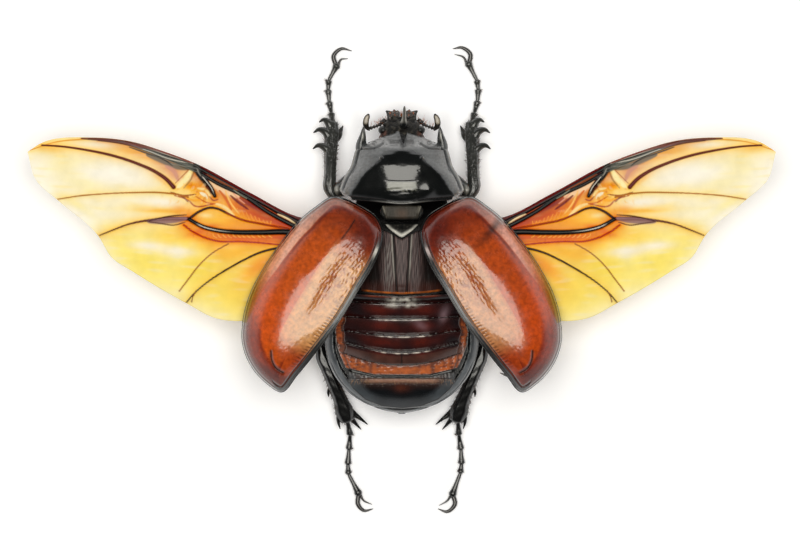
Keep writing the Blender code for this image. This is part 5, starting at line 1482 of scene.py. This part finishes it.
# painted highlight along each plate's rear edge
edge_light = bump(in_front, 0.3, 0.12) * ease(np.abs(x - 0.4), 5.4, 3.6) * ease(y, -5.0, -6.0)
edge_light = edge_light * ease(y, -14.6, -14.0) * ragged
sheen = patch(x, y, (7.6, -6.2), (0.7, 1.5), -20.0) + 0.7 * patch(x, y, (3.4, -8.2), (1.2, 0.7), -30.0)
plate_edge = ease(inset, 0.35, 0.15)
tint = painted(
    "#2E0D0A",
    ("#1A0E11", np.clip(purple, 0.0, 1.0)),
    ("#6A1F10", 0.45 * bump(off, 3.6, 2.6) * bump(share, 0.45, 0.3)),
    (orange, soft),
    ("#B0561C", 0.7 * copper),
    ("#4A1E0E", 0.7 * band * ease(bowed, -16.1, -15.6)),
    ("#4A3028", 0.7 * last_plate * ease(bowed, -13.5, -14.0)),
    (JET, 0.8 * last_plate * bump(x, 0.0, 0.14)),
    ("#5E2A14", 0.8 * bump(np.abs(off - 5.6), 0.0, 0.4) * band),
    ("#7A3416", 0.8 * first * ease(off, 7.5, 5.5)),
    (JET, np.clip(seam + ease(bowed, -3.2, -3.5) * ease(bowed, -4.2, -3.9) * 0.8, 0, 1)),
    ("#C8C4BA", 0.85 * np.clip(glints * (0.8 + 0.5 * wrinkle), 0.0, 1.0)),
    ("#D2C6B8", 0.85 * edge_light),
    ("#8A7078", 0.6 * sheen * (1.0 - seam)),
    (JET, plate_edge))
plate(xyz(x, y, z), np.minimum(UNDER - 0.01 * x * x, z - 0.35), (tint, "#2A120A"),
      (0.2 + 0.45 * soft, 0.5), (plate_edge, 0.0),
      "belly_plates", belly_cuticle, "tergite_cuticle", "tergites")

# %% Tail plate
TAIL_REAR = [(0.0, -23.3), (3.6, -22.9), (6.6, -21.7), (8.9, -19.6), (9.9, -18.0)]
x, y, _, inset = sheet([(0.0, -17.5), (5.0, -17.45), (8.0, -16.8), (9.9, -16.4)], TAIL_REAR,
                       [(0.0, 9.5), (0.3, 9.8), (1.0, 9.4)], 121, 181)
off = np.abs(x)
behind = -17.6 - y
z = 12.5 - 0.1 * behind - 0.07 * behind ** 2 - 0.016 * x * x - rolled(inset, 0.16)
hollow = patch(x, y, (0.0, -19.6), (1.2, 1.0))
lip = bump(behind, 0.45, 0.3)
z = z + 0.2 * lip + 0.02 * ripple(1.4 * x, y, 0.8, 59) * ease(behind, 2.5, 1.0) - 0.08 * hollow
from_edge, _ = to_line(off, y, np.array(TAIL_REAR))
# painted reflection of the bright walls on the steep rim
rim_reflection = ease(from_edge, 2.3, 1.0) * (0.25 + 0.75 * ease(off, 3.0, 7.5))
tint = painted(
    "#0D0F12",
    ("#2C1C18", ease(behind, 2.6, 1.0)),
    ("#9A6A50", 0.8 * bump(behind, 0.6, 0.34) * ease(off, 7.6, 5.0)),
    ("#474D52", 0.65 * rim_reflection),
    ("#5A2A1A", 0.6 * patch(x, y, (0.0, -19.4), (1.4, 0.8))),
    (JET, ease(inset, 0.34, 0.14)))
tail_grid = xyz(x, y, z)
dull = 0.12 + 0.3 * ease(behind, 2.0, 0.8) + 0.2 * ease(from_edge, 2.3, 1.0)
plate(tail_grid, z - 1.2 + 0.3 * ease(inset, 0.6, 0.0), (tint, JET), (dull, 0.4),
      (0.8 * ease(behind, 2.2, 1.0), 0.0), "tail_plate", armour, "black_cuticle", "pygidium")

# %% [markdown]
# ## Trunk
#
# From above only the belly's polished rim shows, but the underside is built too. Below
# are the breast plate with its middle seam and the hip joints, and six belly rings.

# %% Belly
ABDOMEN = [
    (-5.2, 12.4, -0.4, 8.0, 12.0, 0.85), (-9.0, 13.7, -0.5, 8.2, 12.4, 0.85),
    (-11.0, 13.9, -0.4, 8.2, 12.5, 0.85), (-13.0, 13.7, -0.3, 8.2, 12.3, 0.85),
    (-16.9, 12.4, 0.4, 8.0, 11.8, 0.85), (-19.8, 10.3, 1.6, 7.7, 11.0, 0.85),
    (-22.2, 7.2, 3.0, 7.3, 10.0, 0.85), (-23.7, 3.7, 4.6, 7.1, 8.9, 0.85),
    (-24.3, 0.7, 6.2, 7.0, 7.8, 0.85),
]
grid, rows = loft(ABDOMEN, 180, 230, edge=0.15)
x, y, z = np.moveaxis(grid, -1, 0)
off = np.abs(x)
upper = ease(z - rows[:, 3:4], -0.6, 0.4)
beneath = 1.0 - upper
bowed = y - 0.012 * x * x
rings = np.zeros(x.shape)
for line in (-7.6, -10.2, -12.8, -15.4, -18.2, -21.0):
    rings = rings + bump(bowed, line, 0.18)
rim_line = bump(rows[:, 1:2] - off, 0.5, 0.1) * upper * ease(y, -14.0, -16.0)
tail_line = bump(np.hypot(0.62 * x, y + 9.0), 14.35, 0.09) * upper * ease(y, -16.0, -18.0)
spiracles = np.zeros(x.shape)
for line in (-8.8, -11.5, -14.1, -16.8):
    spiracles = spiracles + patch(off, y, (np.interp(-line, [8.8, 16.8], [12.9, 11.2]), line),
                                  (0.3, 0.24)) * upper
relief = -0.16 * rings * beneath - 0.14 * rim_line - 0.1 * tail_line - 0.1 * spiracles
relief = relief + 0.012 * ripple(2.0 * x, y, 0.9, 61) * beneath
well = ease(off - np.interp(-y, [5.0, 9.6, 13.0, 16.0, 18.0, 21.0, 23.0, 24.3],
                            [9.6, 12.3, 12.1, 11.0, 9.6, 7.3, 3.4, -1.0]), 0.2, -0.1)
z = np.minimum(z, 12.2 - well * upper * (2.8 + 0.4 * np.maximum(off - 9.0, 0.0)))
belly_grid = raised(xyz(x, y, z), relief)
tint = painted(
    "#101214",
    ("#2A1712", 0.7 * beneath * (1.0 - rings)),
    # painted reflection: the grey band on the upper rim
    ("#4A4F53", upper * ease(rows[:, 1:2] - off, 1.9, 1.5)),
    (JET, np.clip(rim_line + tail_line + rings * beneath, 0.0, 1.0)))
hull(belly_grid, tint, 0.26 + 0.14 * beneath, 0.5 * beneath,
     "belly_shell", armour, "black_cuticle", "abdomen")

# %% Breast
STERNUM = [
    (14.2, 8.2, 4.4, 7.6, 9.6, 0.8), (12.4, 8.9, 3.0, 7.6, 11.0, 0.8),
    (10.4, 9.4, 1.4, 7.6, 12.0, 0.8), (7.0, 10.2, -0.3, 7.4, 12.5, 0.8),
    (2.0, 11.3, -0.6, 7.6, 12.5, 0.8), (-3.0, 12.0, -0.6, 7.8, 12.2, 0.8),
    (-4.9, 12.2, -0.4, 7.8, 12.0, 0.8),
]
grid, rows = loft(STERNUM[::-1], 150, 200, edge=0.15)
x, y, z = np.moveaxis(grid, -1, 0)
beneath = ease(z - rows[:, 3:4], 0.0, -2.0)
off = np.abs(x)
middle_seam = bump(off, 0.0, 0.14) * ease(y, -2.8, -2.0) * ease(y, 8.4, 7.4)
hip_line = near_line(off, y, [(0.6, -1.6), (4.0, -1.8), (8.0, -0.6), (11.4, 1.4)], 0.16)
side_line = near_line(off, y, [(7.2, 9.0), (8.6, 4.0), (9.6, -1.0)], 0.14)
mid_hip = near_line(off, y, [(0.8, 9.6), (2.4, 6.4), (5.6, 5.4), (8.2, 6.6)], 0.16)
lines = np.clip(middle_seam + hip_line + side_line + mid_hip, 0.0, 1.0) * beneath
hips = patch(off, y, (4.2, -3.4), (3.8, 1.3), 6.0) + patch(off, y, (4.4, 8.0), (3.0, 1.5), -20.0)
relief = -0.2 * lines + 0.3 * hips * beneath + 0.03 * ripple(x, y, 1.2, 62)
breast_grid = raised(grid, relief)
breast_grid[..., 2] = np.maximum(breast_grid[..., 2], 0.0)
tint = painted(
    "#080707",
    ("#2C1610", 0.6 * beneath),
    ("#5A3A20", 0.4 * beneath * ease(off, 5.0, 8.0) * ease(y, -1.0, 3.0)),
    (JET, lines))
hull(breast_grid, tint, 0.4 - 0.12 * beneath, 0.7 * (1.0 - lines),
     "breast_shell", dull_cuticle, "black_cuticle", "sternum")

# %% Front breast
PROSTERNUM = [
    (14.3, 5.4, 1.6, 3.6, 5.6, 0.85), (16.6, 7.0, 0.5, 3.2, 6.2, 0.85),
    (20.0, 6.8, 0.4, 3.2, 6.2, 0.85), (22.8, 5.4, 1.5, 3.6, 5.8, 0.85),
    (23.9, 4.4, 2.6, 4.2, 5.6, 0.85),
]
grid, rows = loft(PROSTERNUM, 90, 140, edge=0.3)
x, y, z = np.moveaxis(grid, -1, 0)
off = np.abs(x)
beneath = ease(z - rows[:, 3:4], 0.0, -0.8)
hips = patch(off, y, (3.6, 19.0), (3.0, 1.4), 12.0)
peg = patch(off, y, (0.0, 17.2), (0.8, 1.0))
gap_line = bump(np.hypot(0.8 * (off - 3.6), 1.7 * (y - 19.0)), 2.9, 0.2)
relief = (0.35 * hips + 0.35 * peg - 0.16 * gap_line) * beneath + 0.02 * ripple(x, y, 1.0, 63)
front_breast_grid = raised(grid, relief)
hull(front_breast_grid, painted("#0E0C0B", ("#2C1610", 0.6 * beneath)), 0.34, 0.6,
     "front_breast_shell", armour, "black_cuticle", "prosternum")

# %% [markdown]
# ## Legs
#
# Each leg is a chain of tubes: a swollen thigh, a shin with teeth and lengthwise ridges,
# five cup-like foot segments, and two claws. The ridges matter to the eye, because each
# carries its own thin light, so they are in the tube's own relief.

# %% Sizes of the legs
LEGS = {"fore": {
    "femur": [(4.2, 19.2, 2.4, 1.5, 1.5), (7.6, 18.3, 3.0, 1.9, 1.7),
              (10.4, 16.7, 3.9, 1.7, 1.6), (12.0, 15.9, 4.9, 1.15, 1.2)],
    "tibia": [(12.4, 15.0, 5.0, 0.85, 0.9), (13.0, 16.4, 5.0, 1.15, 1.0),
              (12.95, 19.0, 4.6, 1.1, 1.0), (12.9, 22.0, 3.8, 1.15, 0.95),
              (12.75, 25.2, 2.8, 1.25, 0.9), (12.6, 27.2, 2.3, 1.2, 0.8),
              (12.5, 28.3, 2.1, 0.9, 0.7)],
    "teeth": [[(12.9, 22.5, 3.6), (13.9, 23.9, 3.5), (15.2, 24.3, 3.3), (16.1, 23.7, 3.2)],
              [(13.0, 25.4, 2.8), (13.9, 26.8, 2.7), (15.1, 27.2, 2.5), (16.0, 26.65, 2.4)],
              [(12.7, 27.0, 2.3), (13.4, 28.5, 2.2), (14.2, 29.0, 2.1), (15.0, 28.6, 1.9)],
              [(12.3, 25.3, 2.5), (11.5, 26.2, 2.2), (11.1, 27.0, 2.0), (10.7, 27.9, 1.8)]],
    "tooth_radius": 0.85, "ridges": 7, "tint": "#2A2B29", "pits": 0.8,
}, "middle": {
    "femur": [(3.9, 5.0, 2.2, 1.4, 1.4), (8.0, 4.8, 2.6, 1.8, 1.6),
              (13.0, 4.0, 3.8, 1.7, 1.6), (17.4, 3.2, 5.0, 1.2, 1.2)],
    "tibia": [(18.1, 3.6, 5.0, 0.9, 0.9), (19.6, 0.6, 4.6, 1.0, 0.95),
              (21.2, -3.2, 3.6, 1.15, 1.0), (22.5, -7.0, 2.4, 1.5, 0.95)],
    "teeth": [[(21.4, -3.0, 3.5), (22.2, -3.6, 3.4), (22.9, -4.3, 3.2), (23.9, -5.3, 3.0)],
              [(22.6, -5.8, 2.6), (23.4, -6.6, 2.4), (24.0, -7.5, 2.1), (24.6, -9.0, 1.7)],
              [(21.9, -6.2, 2.4), (21.5, -7.1, 2.0), (21.2, -8.1, 1.7), (21.0, -9.4, 1.3)]],
    "tooth_radius": 0.6, "ridges": 6, "tint": "#0F0F0E", "pits": 0.6,
}, "hind": {
    "femur": [(4.6, -2.6, 2.0, 1.5, 1.4), (8.2, -5.4, 2.1, 1.9, 1.5),
              (12.0, -9.0, 3.0, 1.9, 1.5), (14.6, -11.6, 4.4, 1.2, 1.2)],
    "tibia": [(14.8, -11.9, 4.7, 0.8, 0.9), (14.4, -14.0, 4.6, 1.15, 1.0),
              (13.5, -16.2, 4.3, 1.15, 1.0), (12.4, -18.9, 3.7, 1.15, 1.05),
              (11.1, -22.0, 2.8, 1.3, 1.05), (10.3, -24.4, 2.2, 1.6, 1.0),
              (10.0, -25.4, 2.0, 1.3, 0.9)],
    "teeth": [[(12.3, -18.9, 3.5), (12.9, -19.8, 3.4), (13.3, -20.5, 3.3), (13.3, -21.3, 3.1)],
              [(10.9, -23.8, 2.3), (11.4, -24.9, 2.1), (11.5, -26.0, 1.8), (11.2, -27.2, 1.6)],
              [(9.5, -23.6, 2.2), (8.6, -24.5, 1.9), (7.4, -25.4, 1.7), (6.2, -26.4, 1.4)],
              [(9.6, -24.4, 1.9), (9.1, -25.3, 1.7), (8.3, -26.3, 1.4), (7.4, -27.3, 1.2)]],
    "tooth_radius": 0.62, "ridges": 6, "tint": "#070707", "pits": 0.08,
}}
FEET = {
    ("fore", "right"): {
        "tarsus": [(12.6, 28.2), (13.2, 30.2), (13.8, 32.4), (13.95, 34.6),
                   (13.7, 36.2), (12.1, 39.4)],
        "claws": [[(12.3, 39.3), (12.5, 41.0), (11.0, 42.2), (9.3, 42.0)],
                  [(11.9, 39.0), (11.3, 40.4), (9.6, 41.0)]]},
    ("fore", "left"): {
        "tarsus": [(12.5, 28.2), (12.8, 30.2), (13.2, 32.3), (13.4, 34.5),
                   (13.3, 36.2), (11.8, 39.0)],
        "claws": [[(12.0, 39.0), (12.4, 40.7), (11.0, 42.0), (9.1, 41.6)],
                  [(11.6, 38.8), (11.1, 40.0), (9.8, 40.2)]]},
    ("middle", "right"): {
        "tarsus": [(22.6, -7.4), (23.1, -8.9), (23.2, -10.5), (22.8, -12.0),
                   (22.1, -13.3), (20.3, -15.9)],
        "claws": [[(20.5, -15.8), (20.3, -17.2), (19.4, -17.5), (17.9, -17.05)],
                  [(20.1, -15.7), (19.4, -16.3), (18.6, -15.9)]]},
    ("middle", "left"): {
        "tarsus": [(22.6, -7.4), (23.1, -8.9), (23.2, -10.5), (22.8, -12.0),
                   (22.1, -13.3), (20.6, -15.6)],
        "claws": [[(20.9, -15.5), (20.9, -16.7), (20.2, -17.1), (19.4, -16.7)],
                  [(20.5, -15.5), (20.0, -16.0), (19.3, -15.9)]]},
    ("hind", "right"): {
        "tarsus": [(10.2, -25.6), (10.4, -28.3), (10.8, -31.0), (10.9, -33.6),
                   (10.7, -35.2), (9.2, -39.3)],
        "claws": [[(9.3, -39.2), (9.7, -40.9), (8.3, -42.3), (6.6, -41.8)],
                  [(9.0, -39.2), (8.4, -40.2), (6.8, -41.2)]]},
    ("hind", "left"): {
        "tarsus": [(9.9, -25.6), (9.4, -28.3), (9.6, -31.0), (9.8, -33.7),
                   (9.7, -35.4), (7.8, -39.1)],
        "claws": [[(7.9, -39.1), (7.9, -41.1), (6.9, -42.1), (5.2, -41.8)],
                  [(7.6, -39.0), (7.0, -40.2), (5.4, -41.0)]]},
}
# share of a foot segment and radius there, for the cup-like ones and for the last one
CUP = [(0.0, 0.34), (0.2, 0.4), (0.55, 0.5), (0.8, 0.64), (0.93, 0.68), (0.98, 0.5)]
LAST_CUP = [(0.0, 0.3), (0.12, 0.36), (0.5, 0.42), (0.8, 0.62), (0.95, 0.78), (1.0, 0.7)]
FOOT_LEVEL = 0.62
CLAW_LEVEL = 0.52
CLAW_RADII = (0.44, 0.26)
# how teeth and claws taper, by how many points they have
TOOTH_TAPER = np.array([1.0, 0.85, 0.5, 0.13])
CLAW_TAPER = {4: (1.0, 0.95, 0.66, 0.14), 3: (1.0, 0.7, 0.14)}
THIGH_SIDES, SHIN_SIDES, FOOT_SIDES = 44, 60, 28
leg_skins = []

# %% The six legs
for (leg, side_name), pose in FEET.items():
    side = SIDES[side_name]
    label = leg + "_" + side_name
    sizes = LEGS[leg]
    points, faces = tube(sizes["femur"], 60, THIGH_SIDES, relief=lambda share, angle:
                         0.03 * np.sin(9.0 * share + 3.0 * angle))
    leg_skins.append(("thigh", THIGH_SIDES, points * (side, 1.0, 1.0)))
    # painted highlight: a pale spot at the fore thigh's outer end
    knee_highlight = (leg == "fore") * patch(points[:, 0], points[:, 1], (11.8, 16.3), (0.4, 0.7))
    tint = painted(sizes["tint"], ("#B8B6AE", 0.75 * knee_highlight))
    Form().add((points, faces), tint, 0.25, pits=0.6 * sizes["pits"], mirror=side).make(
        "thigh_" + label, armour, "black_cuticle", "femur_" + label)

    def flutes(share, angle):
        fade = ease(share, 0.06, 0.2)
        wave = np.cos(sizes["ridges"] * angle) + 0.25 * np.sin(46.0 * share + 5.0 * angle)
        return 0.04 * fade * wave

    form = Form()
    points, faces = tube(sizes["tibia"], 120, SHIN_SIDES, relief=flutes)
    leg_skins.append(("shin", SHIN_SIDES, points * (side, 1.0, 1.0)))
    form.add((points, faces), sizes["tint"], 0.24, pits=sizes["pits"], mirror=side)
    for tooth in sizes["teeth"]:
        radii = sizes["tooth_radius"] * TOOTH_TAPER
        form.add(tube([p + (r, 0.8 * r) for p, r in zip(tooth, radii)], 22, 20),
                 sizes["tint"], 0.22, pits=0.2, mirror=side)
    form.make("shin_" + label, armour, "black_cuticle", "tibia_" + label)

    form = Form()
    joints = pose["tarsus"]
    start = sizes["tibia"][-1][2]
    for i, (a, b) in enumerate(zip(joints, joints[1:])):
        course = []
        for share, radius in LAST_CUP if b is joints[-1] else CUP:
            lift = max(0.0, 1.0 - (i + share) / 1.5)
            course.append((a[0] + share * (b[0] - a[0]), a[1] + share * (b[1] - a[1]),
                           FOOT_LEVEL + (start - FOOT_LEVEL) * lift, 0.92 * radius,
                           0.84 * radius))
        points, faces = tube(course, 28, FOOT_SIDES, relief=lambda share, angle:
                             0.008 * np.cos(6.0 * angle) * np.sin(math.pi * share))
        leg_skins.append(("foot", FOOT_SIDES, points * (side, 1.0, 1.0)))
        form.add((points, faces), sizes["tint"], 0.24, pits=0.25, mirror=side)
    form.make("foot_" + label, armour, "black_cuticle", "tarsus_" + label)

    form = Form()
    for course, radius in zip(pose["claws"], CLAW_RADII):
        rows = [(x, y, CLAW_LEVEL - 0.05 * i, radius * taper) for i, ((x, y), taper) in
                enumerate(zip(course, CLAW_TAPER[len(course)]))]
        form.add(tube(rows, 34, 18), "#1A1512", 0.16, mirror=side)
    form.make("hooks_" + label, armour, "black_cuticle", "claws_" + label)

# %% [markdown]
# ## Bristles
#
# A beetle's bristles stand in combs: dark spines on the shins and foot joints, rust-brown
# fringes at the mouth, the feelers and the hips, a pale row where the tail plate starts.
# Each is a bent thorn with three sides, because a hair 0.1 mm thick shows no more. They
# are plain mesh, grown from random spots of the skins above and leaning along them.
#
# Every skin owns one square of a chart, laid out by how far along and how far round its
# spots are. Each bristle is a tiny patch at its root's spot on that chart.


# %% Growing bristles on a skin
# how far along a thorn and how thick it is there
THORN = np.array([(0.0, 1.0), (0.35, 0.85), (0.7, 0.55), (1.0, 0.08)])
THORN_POINTS = 3 * len(THORN)
ROOT_DEPTH = 0.06
CHART_SQUARES = 8
PATCH_SIZE = 0.003
thorn_faces = quads(len(THORN), 3, wrap=True).tolist() + [[2, 1, 0], [9, 10, 11]]
chart = []
bristles = Form()


def bristle_coat(rings, where, count, length, thick, lean, code, loose=0.35):
    """Grows bristles on rings of points where a mask is high.

    The lean is how far they lie towards the last ring, or towards a fixed direction.
    """
    rng = np.random.default_rng(len(chart) + 70)
    along = np.gradient(rings, axis=0)
    normal = outward(rings, np.gradient(rings, axis=1))
    weight = np.clip(where(rings, normal), 0.0, 1.0).ravel()
    picks = rng.choice(weight.size, count, p=weight / weight.sum())
    root = rings.reshape(-1, 3)[picks] - ROOT_DEPTH * normal.reshape(-1, 3)[picks]
    if isinstance(lean, float):
        forward = along / (np.linalg.norm(along, axis=-1, keepdims=True) + 1e-12)
        lean = lean * forward.reshape(-1, 3)[picks]
    run = normal.reshape(-1, 3)[picks] + lean + loose * rng.normal(size=(count, 3))
    run /= np.linalg.norm(run, axis=1)[:, None]
    run = run * length * rng.uniform(0.6, 1.15, (count, 1))
    side = np.cross(run, (0.31, 0.2, 0.93))
    side /= np.linalg.norm(side, axis=1)[:, None]
    lift = np.cross(side, run)
    lift /= np.linalg.norm(lift, axis=1)[:, None]
    angle = 2.0 * math.pi * np.arange(3) / 3.0
    spoke = side[:, None] * np.cos(angle)[:, None] + lift[:, None] * np.sin(angle)[:, None]
    share, width = THORN.T
    middle = root[:, None] + run[:, None] * share[:, None]
    middle = middle - 0.12 * length * lift[:, None] * (share ** 2)[:, None]
    points = middle[:, :, None] + thick * width[:, None, None] * spoke[:, None]
    points[..., 2] = np.maximum(points[..., 2], 0.03)
    faces = [[i + THORN_POINTS * k for i in face] for k in range(count) for face in thorn_faces]
    bristles.add((points.reshape(-1, 3), faces), code, 0.4)
    square = len(chart)
    spot = np.stack([picks // rings.shape[1] / rings.shape[0],
                     picks % rings.shape[1] / rings.shape[1]], axis=1)
    corner = np.array([square % CHART_SQUARES, square // CHART_SQUARES])
    spot = (corner + 0.05 + 0.9 * spot) / CHART_SQUARES
    tiny = np.stack(np.broadcast_arrays(np.cos(angle)[None, :], (2.0 * share - 1.0)[:, None]),
                    axis=-1)
    chart.append((spot[:, None, None] + 0.5 * PATCH_SIZE * tiny).reshape(-1, 2))


def upright(rings, normal):
    """Everywhere except on the skin's top and bottom."""
    return ease(np.abs(normal[..., 2]), 0.8, 0.5)


# %% Combs and fringes
for kind, sides, points in leg_skins:
    rings = points[:-2].reshape(-1, sides, 3)
    back = np.linspace(0.0, 1.0, len(rings))[:, None]
    if kind == "thigh":
        bristle_coat(rings, upright, 60, 0.8, 0.035, 0.8, "#7A4422")
    elif kind == "shin":
        bristle_coat(rings, lambda r, n: upright(r, n) * ease(back, 0.1, 0.6), 110, 0.75, 0.045,
                     1.2, "#3A2418")
    else:
        bristle_coat(rings, lambda r, n: ease(back, 0.72, 0.8) * ease(back, 0.93, 0.9), 16, 0.8,
                     0.045, 1.3, "#3E2618")
for points in feeler_stems:
    rings = points[:-2].reshape(-1, STEM_SIDES, 3)
    back = np.linspace(0.0, 1.0, len(rings))[:, None]
    bristle_coat(rings, lambda r, n: upright(r, n) * ease(r[..., 1], 27.5, 28.0), 46, 1.3, 0.03,
                 np.array([0.0, 0.7, 0.3]), "#B4714A", 0.5)
bristle_coat(chin[0][:-2].reshape(40, 60, 3), lambda r, n: ease(r[..., 1], 27.6, 28.6), 150, 1.5,
             0.035, np.array([0.0, 1.2, 0.1]), "#A8602E")
bristle_coat(breast_grid, lambda r, n: ease(n[..., 2], -0.2, -0.7) * ease(np.abs(r[..., 0]), 3.0, 8.0),
             1500, 1.1, 0.035, np.array([0.0, -0.9, 0.0]), "#9A5A2C")
bristle_coat(front_breast_grid, lambda r, n: ease(n[..., 2], 0.1, -0.6), 700, 1.1, 0.035,
             np.array([0.0, -0.8, 0.0]), "#9A5A2C")
bristle_coat(belly_grid, lambda r, n: ease(n[..., 2], -0.3, -0.7) * bump(np.mod(
    -r[..., 1] - 7.6 + 0.012 * r[..., 0] ** 2, 2.6), 1.7, 0.3), 700, 0.7, 0.03,
             np.array([0.0, -1.6, 0.0]), "#A0683C")
bristle_coat(tail_grid[:, 8:-8], lambda r, n: bump(-17.6 - r[..., 1], 0.5, 0.35), 150, 0.55,
             0.025, np.array([0.0, -1.6, 0.3]), "#B08A68", 0.3)
print(len(chart), "skins carry", bristles.count // THORN_POINTS, "bristles")

# %% Bristle finish and piece
bristle_chitin, tree = start_finish("tapered_bristle_chitin")
end_finish(tree, {"IOR": 1.3, "Roughness": 0.45}, {"Base Color": paint_of(tree, "tint")})
bristles.make("bristle_coat", bristle_chitin, "bristle", unwrap=np.vstack(chart))
